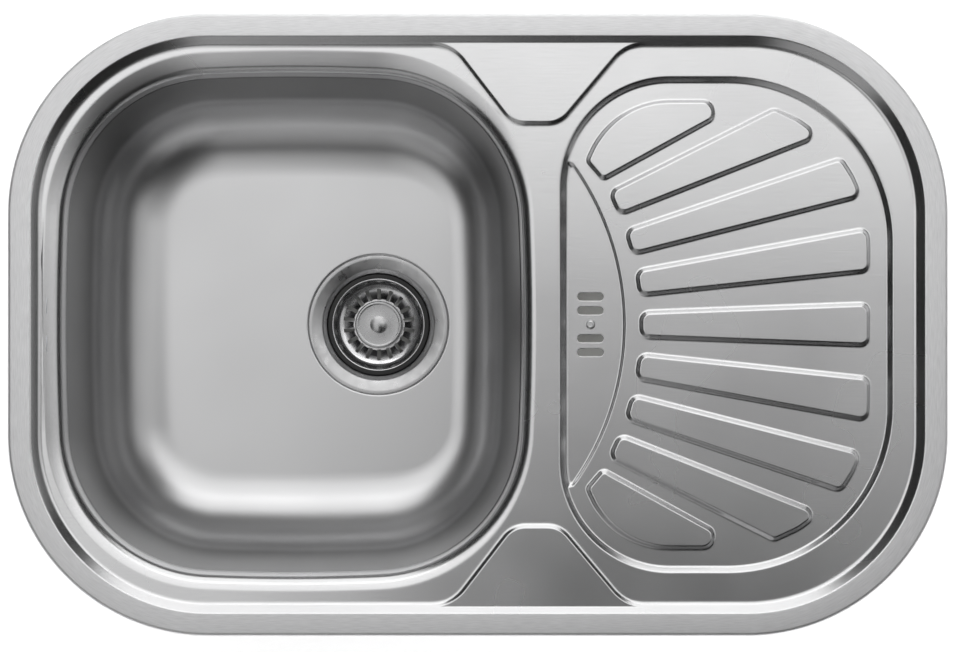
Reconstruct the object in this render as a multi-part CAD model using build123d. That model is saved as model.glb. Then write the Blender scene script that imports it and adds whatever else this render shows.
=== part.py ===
from build123d import *
from math import cos, radians, tan
import os

# Inset kitchen sink: a pressed steel drainer plate, a bowl welded into it, a basket strainer waste,
# an overflow and the clips that hold it in a worktop. Millimetres, +Z up. The origin is the middle
# of the worktop seat: z = 0 is the worktop's upper face, +Y is the back edge, +X the drainer.

# Sheet and outline
SHEET = 0.8
SINK_WIDTH = 490.0
OUTLINE_RADIUS = 158.0

# Heights of the pressed faces, each from the one before
RIM_HEIGHT = 5.0
LEDGE_DROP = 3.9
DECK_DROP = 2.1
TRAY_DROP = 4.0
CRESCENT_DROP = 2.0
RIB_RISE = 3.0
LIP_GAP = 0.3
RIM_EDGE_RADIUS = 3.0
RIM_SLOPE = 40.0
STEP_SLOPE = 45.0

# Plan of the rim steps and of the two raised pads that run into the deck
LEDGE_INSET = 18.0
DECK_INSET = 22.9
PAD_OFFSET = 3.5
PAD_NOSE_WIDTH = 36.0
PAD_LEFT_FLARE = 48.2
PAD_RIGHT_FLARE = 52.5
PAD_REACH = 62.2
PAD_NOSE_RADIUS = 20.0
PAD_ROOT_RADIUS = 34.0

# Bowl, measured at the weld seam just below its rolled mouth
BOWL_LENGTH = 361.0
BOWL_END_MARGIN = 43.5
BOWL_SIDE_MARGIN = 48.5
BOWL_FRONT_RADIUS = 1600.0
BOWL_SIDE_RADIUS = 1900.0
BOWL_CORNER = 115.0
BOWL_DEPTH = 180.0
BOWL_DRAFT = 8.0
BOWL_FLOOR_RADIUS = 42.0
ROLL_RADIUS = 10.0
SEAM_DROP = 21.0

# Drainer tray, its fan of ribs and the lower crescent that holds the overflow
BRIDGE_WIDTH = 30.0
TRAY_LENGTH = 262.5
TRAY_END_MARGIN = 43.0
TRAY_SIDE_MARGIN = 50.0
TRAY_LEFT_RADIUS = 87.0
TRAY_RIGHT_RADIUS = 130.0
CRESCENT_WIDTH = 50.2
CRESCENT_RADIUS = 215.7
RIB_GAP = 10.8
RIB_PITCH = 8.2
RIB_PAIRS = 3
RIB_START_WIDTH = 22.0
RIB_FLARE = 4.3
RIB_MARGIN = 17.5
RIB_CORNER = 7.0
SIDE_RIB_START = 37.0
SIDE_RIB_DEPTH = 80.5
SIDE_RIB_ANGLE = 28.8
SIDE_RIB_END = 122.5

# Overflow
OVERFLOW_INSET = 24.5
OVERFLOW_SLOT_LENGTH = 20.5
OVERFLOW_SLOT_WIDTH = 6.0
OVERFLOW_SLOT_PITCH = 11.0
OVERFLOW_SLOT_STEPS = (-2, -1, 1, 2)
OVERFLOW_SLOT_MARGIN = 4.0
OVERFLOW_GASKET = 2.0
OVERFLOW_BOX_DEPTH = 26.0
OVERFLOW_WALL = 2.6
OVERFLOW_BAR_DEPTH = 12.0
OVERFLOW_BAR_WALL = 1.7
OVERFLOW_SCREW_DIAMETER = 4.0
OVERFLOW_HEAD_DIAMETER = 7.4
OVERFLOW_HEAD_HEIGHT = 1.8
OVERFLOW_INSERT_DIAMETER = 6.6
OVERFLOW_INSERT_LENGTH = 8.0

# Drain recess and strainer
DRAIN_OFFSET = 63.0
FLANGE_DIAMETER = 114.0
FLANGE_SHEET = 0.8
FLANGE_SINK = 0.4
FLANGE_FLAT_WIDTH = 2.0
FLANGE_GASKET = 2.4
GASKET_RING_WIDTH = 6.0
RECESS_GAP = 2.0
HOLE_GAP = 0.5
DISH_DROP = 2.2
STRAINER_DIAMETER = 86.0
STRAINER_NECK = 3.0
SEAT_DEPTH = 10.0
SEAT_WIDTH = 3.5
STRAINER_DEPTH = 37.0
STRAINER_TAPER = 2.5
STRAINER_HUB_DIAMETER = 20.0
STRAINER_WINDOWS = 6
STRAINER_SPOKE = 6.0
BODY_GASKET = 3.0

# Basket
BASKET_LIP_GAP = 4.5
BASKET_LIP_WIDTH = 2.0
BASKET_KNEE_INSET = 3.5
BASKET_KNEE_HEIGHT = 12.0
BASKET_FOOT_INSET = 4.5
BASKET_DEPTH = 23.0
BASKET_SHEET = 0.7
BASKET_SLOTS = 18
BASKET_SLOT_WIDTH = 2.8
BASKET_SLOT_START = 20.8
SEAL_HEIGHT = 3.0
SEAL_GAP = 0.4
KNOB_DIAMETER = 39.5
KNOB_THICKNESS = 3.6
KNOB_EDGE = 1.5
KNOB_STEM_DIAMETER = 10.0
KNOB_HEIGHT = 18.0
KNOB_BUTTON_DIAMETER = 15.0
KNOB_BUTTON_HEIGHT = 2.2
PIN_DIAMETER = 5.2
PIN_LENGTH = 16.0
PIN_GAP = 0.4
PIN_END_GAP = 2.0

# Waste body under the bowl
BODY_BORE_GAP = 1.0
BODY_RIM_WIDTH = 12.0
BODY_RIM_THICKNESS = 4.0
BODY_WALL = 3.0
BODY_DEPTH = 46.0
BODY_FLOOR = 4.0
OUTLET_DIAMETER = 47.8
OUTLET_WALL = 3.9
OUTLET_LENGTH = 35.0
BODY_BOSS_WALL = 2.5
BODY_BOSS_GAP = 2.0
BODY_ARMS = 4
BODY_ARM_WIDTH = 4.0
CLAMP_DIAMETER = 10.0
CLAMP_HEAD_DIAMETER = 16.0
CLAMP_HEAD_HEIGHT = 3.0
CLAMP_INSERT_DIAMETER = 14.0
THREAD_GAP = 0.05

# Overflow pipe and its two unions
PIPE_DIAMETER = 20.0
PIPE_WALL = 1.5
PIPE_BEND = 45.0
PIPE_DROP = 31.0
SOCKET_DEPTH = 15.0
SOCKET_GAP = 0.4
STUB_WALL = 2.6
TOP_STUB_LENGTH = 22.0
BODY_STUB_LENGTH = 29.0
UNION_SEAL = 3.0
UNION_LIP = 2.0
UNION_WALL = 3.5
UNION_GRIP = 12.0
UNION_FLUTES = 12
UNION_FLUTE_RADIUS = 1.6

# Rim gasket and sound pad
GASKET_EDGE_GAP = 0.2
GASKET_WIDTH = 6.6
SOUND_PAD_OFFSET = 61.0
SOUND_PAD_LENGTH = 110.0
SOUND_PAD_WIDTH = 170.0
SOUND_PAD_CORNER = 12.0
SOUND_PAD_THICKNESS = 2.5

# Worktop clips
CLIP_END_INSET = 180.0
CLIP_PAD_GAP = 39.8
CLIP_FOOT_GAP = 1.1
CLIP_FOOT_WIDTH = 4.2
CLIP_FOOT_LENGTH = 12.0
CLIP_SHEET = 1.5
CLIP_SPAN = 18.0
CLIP_CROWN_WIDTH = 14.0
CLIP_CROWN_THICKNESS = 3.0
CLIP_TRAVEL = 12.0
SCREW_DIAMETER = 5.0
SCREW_HEAD_DIAMETER = 9.0
SCREW_HEAD_HEIGHT = 3.6
SCREW_STICKOUT = 0.5
SCREW_HEADROOM = 1.5
WORKTOP_MAX = 40.0
CLAW_EDGE_GAP = 1.2
CLAW_WIDTH = 10.0
CLAW_SHEET = 2.0
CLAW_RISE = 18.0
CLAW_TIP = 6.0

# Places along the sink that follow from the sizes above
RIM_RUN = 1 / tan(radians(RIM_SLOPE))
STEP_RUN = 1 / tan(radians(STEP_SLOPE))
SINK_LENGTH = BOWL_END_MARGIN + BOWL_LENGTH + BRIDGE_WIDTH + TRAY_LENGTH + TRAY_END_MARGIN
BOWL_X = BOWL_END_MARGIN + BOWL_LENGTH / 2 - SINK_LENGTH / 2
BOWL_WIDTH = SINK_WIDTH - 2 * BOWL_SIDE_MARGIN
BRIDGE_X = BOWL_X + BOWL_LENGTH / 2 + BRIDGE_WIDTH / 2
PAD_X = BRIDGE_X - PAD_OFFSET
TRAY_LEFT = BRIDGE_X + BRIDGE_WIDTH / 2
TRAY_RIGHT = TRAY_LEFT + TRAY_LENGTH
TRAY_WIDTH = SINK_WIDTH - 2 * TRAY_SIDE_MARGIN
FAN_X = TRAY_LEFT + CRESCENT_WIDTH - CRESCENT_RADIUS
RIB_START = CRESCENT_RADIUS + CRESCENT_DROP * STEP_RUN + RIB_GAP
OVERFLOW_X = TRAY_LEFT + OVERFLOW_INSET
DRAIN_X = BOWL_X + DRAIN_OFFSET
SOUND_PAD_X = BOWL_X - SOUND_PAD_OFFSET
CLIP_INSET = DECK_INSET + DECK_DROP * RIM_RUN + CLIP_FOOT_GAP + CLIP_FOOT_WIDTH / 2

# Heights that follow
LEDGE_Z = RIM_HEIGHT - LEDGE_DROP
DECK_Z = LEDGE_Z - DECK_DROP
TRAY_Z = DECK_Z - TRAY_DROP
CRESCENT_Z = TRAY_Z - CRESCENT_DROP
SEAM_Z = DECK_Z - SEAM_DROP
FLOOR_Z = RIM_HEIGHT - BOWL_DEPTH
FLANGE_Z = FLOOR_Z - FLANGE_SINK
RECESS_Z = FLANGE_Z - FLANGE_SHEET - FLANGE_GASKET
SEAT_Z = FLOOR_Z - SEAT_DEPTH
STRAINER_Z = FLOOR_Z - STRAINER_DEPTH
BASKET_LIP_Z = SEAT_Z + SEAL_HEIGHT + BASKET_SHEET
BASKET_FLOOR_Z = BASKET_LIP_Z - BASKET_DEPTH
BODY_TOP_Z = RECESS_Z - SHEET - BODY_GASKET
BODY_FLOOR_Z = FLOOR_Z - BODY_DEPTH
BODY_FOOT_Z = BODY_FLOOR_Z - BODY_FLOOR
BOSS_TOP_Z = STRAINER_Z - FLANGE_SHEET - BODY_BOSS_GAP
PIPE_Z = FLOOR_Z - PIPE_DROP
OVERFLOW_Z = CRESCENT_Z - SHEET - OVERFLOW_GASKET
OVERFLOW_FLOOR_Z = OVERFLOW_Z - OVERFLOW_BOX_DEPTH
OVERFLOW_STUB_Z = OVERFLOW_FLOOR_Z - TOP_STUB_LENGTH
PIPE_TOP_Z = OVERFLOW_STUB_Z + SOCKET_DEPTH
CLIP_Z = DECK_Z - SHEET
CROWN_Z = CLIP_Z - SCREW_HEADROOM - CLIP_TRAVEL - SCREW_STICKOUT
CLAW_Z = -WORKTOP_MAX - CLAW_RISE

# Diameters and spans that fit one another
RECESS_DIAMETER = FLANGE_DIAMETER + 2 * RECESS_GAP
DRAIN_HOLE = STRAINER_DIAMETER + 2 * (STRAINER_NECK + HOLE_GAP)
BODY_BORE = DRAIN_HOLE + 2 * BODY_BORE_GAP
BODY_RIM_DIAMETER = BODY_BORE + 2 * BODY_RIM_WIDTH
BODY_BOSS_DIAMETER = CLAMP_INSERT_DIAMETER + 2 * BODY_BOSS_WALL
BODY_STUB_REACH = BODY_BORE / 2 + BODY_WALL + BODY_STUB_LENGTH
OUTLET_BORE = OUTLET_DIAMETER - 2 * OUTLET_WALL
CLAMP_BORE = PIN_DIAMETER + 2 * PIN_GAP
STUB_BORE = PIPE_DIAMETER / 2 + SOCKET_GAP
STUB_RADIUS = STUB_BORE + STUB_WALL
OVERFLOW_INNER_LENGTH = OVERFLOW_SLOT_LENGTH + 2 * OVERFLOW_SLOT_MARGIN
OVERFLOW_SPAN = (OVERFLOW_SLOT_STEPS[-1] - OVERFLOW_SLOT_STEPS[0]) * OVERFLOW_SLOT_PITCH
OVERFLOW_INNER_WIDTH = OVERFLOW_SPAN + OVERFLOW_SLOT_WIDTH + 2 * OVERFLOW_SLOT_MARGIN
OVERFLOW_BOX_LENGTH = OVERFLOW_INNER_LENGTH + 2 * OVERFLOW_WALL
OVERFLOW_BOX_WIDTH = OVERFLOW_INNER_WIDTH + 2 * OVERFLOW_WALL
OVERFLOW_BAR_WIDTH = OVERFLOW_INSERT_DIAMETER + 2 * OVERFLOW_BAR_WALL
CLAW_REACH = CLIP_INSET - CLAW_EDGE_GAP

MARGIN = 5.0
TOUCH = 0.001
BOTTOM = (Align.CENTER, Align.CENTER, Align.MIN)


def post(radius, bottom, top):
    """An upright cylinder between two heights."""
    return Pos(0, 0, bottom) * Cylinder(radius, top - bottom, align=BOTTOM)


def ring(outer, inner, bottom, top):
    """An upright tube between two heights."""
    return post(outer, bottom, top) - post(inner, bottom - MARGIN, top + MARGIN)


def slab(length, width, bottom, top):
    """A box centred on the vertical axis between two heights."""
    return Pos(0, 0, bottom) * Box(length, width, top - bottom, align=BOTTOM)


def turned(points):
    """A solid turned about the vertical axis from (radius, height) corners."""
    return revolve(Plane.XZ * make_face(Polyline(*points, close=True)), Axis.Z)


def grown(contour, amount):
    """A plan contour moved out, or in where the amount is negative."""
    return offset(contour, amount, kind=Kind.ARC) if amount else contour


def spread(slope, depth):
    """How far a sloping wall's edges move in plan as its face moves into the metal by a depth."""
    return depth * tan(radians(slope / 2))


def sunk(mouth, top, floor, slope):
    """The space of a recess whose walls slope in from its mouth."""
    well = mirror(extrude(mouth, top - floor, taper=90 - slope), about=Plane.XY)
    return Pos(0, 0, top) * (well + extrude(mouth, MARGIN))


def rim_contour(inset):
    """The sink's outline, moved in from the edge."""
    return RectangleRounded(SINK_LENGTH - 2 * inset, SINK_WIDTH - 2 * inset, OUTLINE_RADIUS - inset)


def deck_contour():
    """The deck's edge: the inset outline with a pad running in from the back and the front."""
    root_y = SINK_WIDTH / 2 - DECK_INSET
    nose_y = root_y - PAD_REACH
    left, right = PAD_X - PAD_NOSE_WIDTH / 2, PAD_X + PAD_NOSE_WIDTH / 2
    lean = (root_y + MARGIN - nose_y) / PAD_REACH
    pad = make_face(
        Polyline(
            (left, nose_y),
            (right, nose_y),
            (right + PAD_RIGHT_FLARE * lean, root_y + MARGIN),
            (left - PAD_LEFT_FLARE * lean, root_y + MARGIN),
            close=True,
        )
    )
    deck = rim_contour(DECK_INSET) - pad - mirror(pad, about=Plane.XZ)
    deck = fillet([v for v in deck.vertices() if abs(abs(v.Y) - nose_y) < TOUCH], PAD_NOSE_RADIUS)
    roots = (left - PAD_LEFT_FLARE, right + PAD_RIGHT_FLARE)
    edge = [v for v in deck.vertices() if abs(abs(v.Y) - root_y) < TOUCH]
    return fillet([v for v in edge if min(abs(v.X - x) for x in roots) < TOUCH], PAD_ROOT_RADIUS)


def bowl_contour(growth):
    """The bowl's plan at the weld seam, grown all round: four bulged sides with rounded corners."""
    x, y = BOWL_LENGTH / 2 - BOWL_SIDE_RADIUS, BOWL_WIDTH / 2 - BOWL_FRONT_RADIUS
    across, along = Circle(BOWL_SIDE_RADIUS + growth), Circle(BOWL_FRONT_RADIUS + growth)
    plan = Pos(x, 0) * across & Pos(-x, 0) * across & Pos(0, y) * along & Pos(0, -y) * along
    return Pos(BOWL_X, 0) * fillet(plan.vertices(), BOWL_CORNER + growth)


def tray_contour():
    """The drainer tray's upper edge, tighter at the corners beside the bowl."""
    middle = (TRAY_LEFT + TRAY_RIGHT) / 2
    plan = Pos(middle, 0) * Rectangle(TRAY_RIGHT - TRAY_LEFT, TRAY_WIDTH)
    plan = fillet([v for v in plan.vertices() if v.X < middle], TRAY_LEFT_RADIUS)
    sharp = [v for v in plan.vertices() if abs(v.X - TRAY_RIGHT) < TOUCH]
    return fillet(sharp, TRAY_RIGHT_RADIUS)


def side_rib(field, side):
    """The outermost rib at the back (1) or the front (-1), which fills the tray's corner."""
    reach = SINK_WIDTH
    edge = Pos(TRAY_LEFT + SIDE_RIB_START, side * (TRAY_WIDTH / 2 - SIDE_RIB_DEPTH))
    edge *= Rot(0, 0, side * SIDE_RIB_ANGLE)
    beyond = edge * Pos(0, side * reach / 2) * Rectangle(2 * reach, reach)
    ended = Pos(TRAY_LEFT + SIDE_RIB_END - reach / 2, 0) * Rectangle(reach, 2 * reach)
    return (field & beyond & ended) - Pos(FAN_X, 0) * Circle(RIB_START)


def rib_contours():
    """The ribs' feet: a fan about FAN_X, ended along the tray's edge, and one at each side."""
    field = grown(tray_contour(), -RIB_MARGIN)
    far = TRAY_RIGHT - FAN_X + MARGIN
    wide = RIB_START_WIDTH / 2 + (far - RIB_START) * tan(radians(RIB_FLARE / 2))
    blade = make_face(
        Polyline(
            (RIB_START, -RIB_START_WIDTH / 2),
            (far, -wide),
            (far, wide),
            (RIB_START, RIB_START_WIDTH / 2),
            close=True,
        )
    )
    fan = [
        field & (Pos(FAN_X, 0) * Rot(0, 0, RIB_PITCH * step) * blade)
        for step in range(-RIB_PAIRS, RIB_PAIRS + 1)
    ]
    sharp = [*fan, side_rib(field, 1), side_rib(field, -1)]
    return [grown(grown(foot, -RIB_CORNER), RIB_CORNER) for foot in sharp]


def rib(foot, depth):
    """One raised rib, moved into the metal by a depth."""
    contour = grown(foot, -spread(STEP_SLOPE, depth))
    return Pos(0, 0, TRAY_Z - depth) * extrude(contour, RIB_RISE, taper=90 - STEP_SLOPE)


def crescent(depth):
    """The lower part of the tray beside the bowl, stepped up to the tray along an arc."""
    mouth = grown(tray_contour(), spread(STEP_SLOPE, depth))
    well = sunk(mouth, DECK_Z - depth, CRESCENT_Z - depth, STEP_SLOPE)
    foot = CRESCENT_RADIUS + spread(STEP_SLOPE, depth)
    height = DECK_Z + MARGIN - CRESCENT_Z
    lens = Cone(foot, foot + height * STEP_RUN, height, align=BOTTOM)
    return well & (Pos(FAN_X, 0, CRESCENT_Z - depth) * lens)


def pressing(depth):
    """The body of metal under the plate's upper face, with that face moved into it by a depth."""
    block = Pos(0, 0, SEAM_Z) * extrude(rim_contour(depth), RIM_HEIGHT - depth - SEAM_Z)
    block = fillet(block.faces().sort_by(Axis.Z)[-1].edges(), RIM_EDGE_RADIUS - depth)
    edge = spread(RIM_SLOPE, depth)
    block -= sunk(rim_contour(LEDGE_INSET - edge), RIM_HEIGHT - depth, LEDGE_Z - depth, RIM_SLOPE)
    block -= sunk(grown(deck_contour(), edge), LEDGE_Z - depth, DECK_Z - depth, RIM_SLOPE)
    wall = 90 - BOWL_DRAFT
    mouth = bowl_contour(SEAM_DROP * tan(radians(BOWL_DRAFT)) + spread(wall, depth))
    block -= sunk(mouth, DECK_Z - depth, SEAM_Z - MARGIN, wall)
    lip = (Pos(0, 0, DECK_Z - depth) * mouth).wires()[0]
    block = fillet([e for e in block.edges() if lip.distance_to(e @ 0.5) < TOUCH], ROLL_RADIUS - depth)
    well = grown(tray_contour(), spread(STEP_SLOPE, depth))
    block -= sunk(well, DECK_Z - depth, TRAY_Z - depth, STEP_SLOPE)
    block -= crescent(depth)
    for foot in rib_contours():
        block += rib(foot, depth)
    return block


def drainer_plate():
    """The pressed plate: rim, deck, pads, tray and the collar that the bowl is welded to."""
    plate = pressing(0) - pressing(SHEET)
    skirt = rim_contour(-MARGIN) - rim_contour(RIM_EDGE_RADIUS)
    plate -= Pos(0, 0, SEAM_Z - MARGIN) * extrude(skirt, LIP_GAP - SEAM_Z + MARGIN)
    slot = SlotOverall(OVERFLOW_SLOT_LENGTH, OVERFLOW_SLOT_WIDTH)
    for step in OVERFLOW_SLOT_STEPS:
        place = Pos(OVERFLOW_X, step * OVERFLOW_SLOT_PITCH, CRESCENT_Z - MARGIN)
        plate -= place * extrude(slot, 2 * MARGIN)
    hole = post(OVERFLOW_SCREW_DIAMETER / 2 + THREAD_GAP, CRESCENT_Z - MARGIN, CRESCENT_Z + MARGIN)
    return plate - Pos(OVERFLOW_X, 0, 0) * hole


def bowl_body(depth):
    """The space inside the bowl and its drain recess, moved out into the metal by a depth."""
    plan = bowl_contour(depth / cos(radians(BOWL_DRAFT)))
    well = extrude(plan, SEAM_Z - FLOOR_Z + depth, taper=BOWL_DRAFT)
    well = fillet(well.faces().sort_by(Axis.Z)[-1].edges(), BOWL_FLOOR_RADIUS + depth)
    well = Pos(0, 0, SEAM_Z) * mirror(well, about=Plane.XY)
    recess = Pos(DRAIN_X, 0) * Circle(RECESS_DIAMETER / 2 + spread(STEP_SLOPE, depth))
    return well + sunk(recess, FLOOR_Z - depth, RECESS_Z - depth, STEP_SLOPE)


def bowl():
    """The drawn bowl, from the weld seam down to the drain hole."""
    hole = post(DRAIN_HOLE / 2, RECESS_Z - MARGIN, FLOOR_Z + MARGIN)
    return bowl_body(SHEET) - bowl_body(0) - Pos(DRAIN_X, 0, 0) * hole


def rim_gasket():
    """The foam strip between the rim and the worktop."""
    inset = RIM_EDGE_RADIUS + GASKET_EDGE_GAP
    strip = rim_contour(inset) - rim_contour(inset + GASKET_WIDTH)
    return extrude(strip, RIM_HEIGHT - SHEET)


def sound_pad():
    """The damping pad glued under the bowl's floor."""
    plan = RectangleRounded(SOUND_PAD_LENGTH, SOUND_PAD_WIDTH, SOUND_PAD_CORNER)
    place = Pos(SOUND_PAD_X, 0, FLOOR_Z - SHEET - SOUND_PAD_THICKNESS)
    return place * extrude(plan, SOUND_PAD_THICKNESS)


def strainer_flange():
    """The steel strainer cup with its dished flange, seat step, windows and screw hub."""
    flange_r = FLANGE_DIAMETER / 2
    flat_r = flange_r - FLANGE_FLAT_WIDTH
    cup_r = STRAINER_DIAMETER / 2
    neck_r = cup_r + STRAINER_NECK
    step_r = cup_r - SEAT_WIDTH
    foot_r = step_r - STRAINER_TAPER
    t = FLANGE_SHEET
    cup = turned(
        [
            (flange_r, FLANGE_Z),
            (flat_r, FLANGE_Z),
            (neck_r, FLANGE_Z - DISH_DROP),
            (cup_r, FLANGE_Z - DISH_DROP - STRAINER_NECK),
            (cup_r, SEAT_Z),
            (step_r, SEAT_Z),
            (foot_r, STRAINER_Z),
            (0, STRAINER_Z),
            (0, STRAINER_Z - t),
            (foot_r + t, STRAINER_Z - t),
            (step_r + t, SEAT_Z - t),
            (cup_r + t, SEAT_Z - t),
            (cup_r + t, FLANGE_Z - DISH_DROP - STRAINER_NECK - t),
            (neck_r, FLANGE_Z - DISH_DROP - t),
            (flat_r, FLANGE_Z - t),
            (flange_r, FLANGE_Z - t),
        ]
    )
    hub_r = STRAINER_HUB_DIAMETER / 2
    window = Circle(foot_r - STRAINER_SPOKE / 2) - Circle(hub_r)
    arm = Pos(foot_r / 2, 0) * Rectangle(foot_r, STRAINER_SPOKE)
    for spoke in range(STRAINER_WINDOWS):
        window -= Rot(0, 0, 360 / STRAINER_WINDOWS * spoke) * arm
    cup -= Pos(0, 0, STRAINER_Z - MARGIN) * extrude(window, 2 * MARGIN)
    cup -= post(CLAMP_DIAMETER / 2 + THREAD_GAP, STRAINER_Z - MARGIN, STRAINER_Z + MARGIN)
    return Pos(DRAIN_X, 0, 0) * cup


def flange_gasket():
    """The wedge ring that seals the dished flange to the bowl's recess."""
    flat_r = FLANGE_DIAMETER / 2 - FLANGE_FLAT_WIDTH
    neck_r = STRAINER_DIAMETER / 2 + STRAINER_NECK
    outer = min(flat_r, RECESS_DIAMETER / 2 - (FLOOR_Z - RECESS_Z) * STEP_RUN - SEAL_GAP)
    inner = outer - GASKET_RING_WIDTH
    fall = DISH_DROP / (flat_r - neck_r)
    under = FLANGE_Z - FLANGE_SHEET
    corners = [
        (outer, RECESS_Z),
        (outer, under - (flat_r - outer) * fall),
        (inner, under - (flat_r - inner) * fall),
        (inner, RECESS_Z),
    ]
    return Pos(DRAIN_X, 0, 0) * turned(corners)


def body_gasket():
    """The ring between the bowl's underside and the waste body."""
    outer = BODY_RIM_DIAMETER / 2 - 2 * SEAL_GAP
    return Pos(DRAIN_X, 0, 0) * ring(outer, BODY_BORE / 2, BODY_TOP_Z, RECESS_Z - SHEET)


def basket():
    """The strainer basket: a lipped cup with slots round the foot of its wall."""
    t = BASKET_SHEET
    lip_r = STRAINER_DIAMETER / 2 - BASKET_LIP_GAP
    wall_r = lip_r - BASKET_LIP_WIDTH
    knee_r = wall_r - BASKET_KNEE_INSET
    foot_r = knee_r - BASKET_FOOT_INSET
    knee_z = BASKET_FLOOR_Z + BASKET_KNEE_HEIGHT
    cup = turned(
        [
            (lip_r, BASKET_LIP_Z),
            (wall_r - t, BASKET_LIP_Z),
            (knee_r - t, knee_z),
            (foot_r - t, BASKET_FLOOR_Z),
            (0, BASKET_FLOOR_Z),
            (0, BASKET_FLOOR_Z - t),
            (foot_r, BASKET_FLOOR_Z - t),
            (knee_r, knee_z),
            (wall_r, BASKET_LIP_Z - t),
            (lip_r, BASKET_LIP_Z - t),
        ]
    )
    length = knee_r - BASKET_SLOT_START
    place = Pos(BASKET_SLOT_START + length / 2, 0, BASKET_FLOOR_Z - t)
    slot = place * slab(length, BASKET_SLOT_WIDTH, -MARGIN, BASKET_KNEE_HEIGHT)
    for step in range(BASKET_SLOTS):
        cup -= Rot(0, 0, 360 / BASKET_SLOTS * (step + 0.5)) * slot
    cup -= post(PIN_DIAMETER / 2, BASKET_FLOOR_Z - MARGIN, BASKET_FLOOR_Z + MARGIN)
    return Pos(DRAIN_X, 0, 0) * cup


def basket_seal():
    """The rubber ring under the basket's lip, resting on the strainer's seat."""
    outer = STRAINER_DIAMETER / 2 - SEAL_GAP
    inner = STRAINER_DIAMETER / 2 - BASKET_LIP_GAP - BASKET_LIP_WIDTH + SEAL_GAP
    return Pos(DRAIN_X, 0, 0) * ring(outer, inner, SEAT_Z, SEAT_Z + SEAL_HEIGHT)


def basket_knob():
    """The pull knob: a round-edged disc with a raised button, on a stem that stands on the basket."""
    top = BASKET_FLOOR_Z + KNOB_HEIGHT
    disc = post(KNOB_DIAMETER / 2, top - KNOB_THICKNESS, top)
    disc = fillet(disc.edges().filter_by(GeomType.CIRCLE), KNOB_EDGE)
    stem = post(KNOB_STEM_DIAMETER / 2, BASKET_FLOOR_Z, top - KNOB_THICKNESS)
    half = KNOB_BUTTON_DIAMETER / 2
    dome = (half**2 + KNOB_BUTTON_HEIGHT**2) / (2 * KNOB_BUTTON_HEIGHT)
    cap = Pos(0, 0, top + KNOB_BUTTON_HEIGHT - dome) * Sphere(dome)
    button = cap & post(half, top - TOUCH, top + MARGIN)
    return Pos(DRAIN_X, 0, 0) * (disc + stem + button)


def basket_pin():
    """The guide pin under the basket, which drops into the hollow clamp screw."""
    pin = post(PIN_DIAMETER / 2, BASKET_FLOOR_Z - PIN_LENGTH, BASKET_FLOOR_Z)
    return Pos(DRAIN_X, 0, 0) * chamfer(pin.edges().sort_by(Axis.Z)[0], PIN_DIAMETER / 5)


def waste_body():
    """The plastic waste cup with its outlet, spider boss and the inlet for the overflow."""
    bore, outer = BODY_BORE / 2, BODY_BORE / 2 + BODY_WALL
    cup = ring(BODY_RIM_DIAMETER / 2, bore, BODY_TOP_Z - BODY_RIM_THICKNESS, BODY_TOP_Z)
    cup += ring(outer, bore, BODY_FOOT_Z, BODY_TOP_Z)
    cup += ring(outer, OUTLET_BORE / 2, BODY_FOOT_Z, BODY_FLOOR_Z)
    cup += ring(OUTLET_DIAMETER / 2, OUTLET_BORE / 2, BODY_FOOT_Z - OUTLET_LENGTH, BODY_FOOT_Z)
    arm = Pos(outer / 2, 0, 0) * slab(outer - BODY_WALL / 2, BODY_ARM_WIDTH, BODY_FOOT_Z, BOSS_TOP_Z)
    for step in range(BODY_ARMS):
        cup += Rot(0, 0, 360 / BODY_ARMS * (step + 0.5)) * arm
    cup += post(BODY_BOSS_DIAMETER / 2, BODY_FOOT_Z, BOSS_TOP_Z)
    cup -= post(CLAMP_INSERT_DIAMETER / 2, BODY_FOOT_Z - MARGIN, BOSS_TOP_Z + MARGIN)
    stub_end = Pos(BODY_STUB_REACH, 0, PIPE_Z) * Rot(0, -90, 0)
    length = BODY_STUB_REACH - bore
    cup += stub_end * post(STUB_RADIUS, 0, length) - post(bore, BODY_FOOT_Z, BODY_TOP_Z)
    cup -= stub_end * post(STUB_BORE, -MARGIN, SOCKET_DEPTH)
    cup -= stub_end * post(PIPE_DIAMETER / 2 - PIPE_WALL, 0, length + MARGIN)
    return Pos(DRAIN_X, 0, 0) * cup


def clamp_screw():
    """The hollow screw that draws the waste body up against the strainer."""
    head_top = STRAINER_Z + CLAMP_HEAD_HEIGHT
    bore_foot = BASKET_FLOOR_Z - PIN_LENGTH - PIN_END_GAP
    screw = post(CLAMP_HEAD_DIAMETER / 2, STRAINER_Z, head_top)
    screw += post(CLAMP_DIAMETER / 2, BODY_FOOT_Z, head_top)
    return Pos(DRAIN_X, 0, 0) * (screw - post(CLAMP_BORE / 2, bore_foot, head_top + MARGIN))


def clamp_insert():
    """The brass insert moulded into the waste body's boss."""
    bore = CLAMP_DIAMETER / 2 + THREAD_GAP
    return Pos(DRAIN_X, 0, 0) * ring(CLAMP_INSERT_DIAMETER / 2, bore, BODY_FOOT_Z, BOSS_TOP_Z)


def overflow_gasket():
    """The rubber frame between the plate and the overflow box."""
    plan = Rectangle(OVERFLOW_BOX_LENGTH, OVERFLOW_BOX_WIDTH)
    plan -= Rectangle(OVERFLOW_INNER_LENGTH, OVERFLOW_INNER_WIDTH)
    return Pos(OVERFLOW_X, 0, OVERFLOW_Z) * extrude(plan, OVERFLOW_GASKET)


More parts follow.
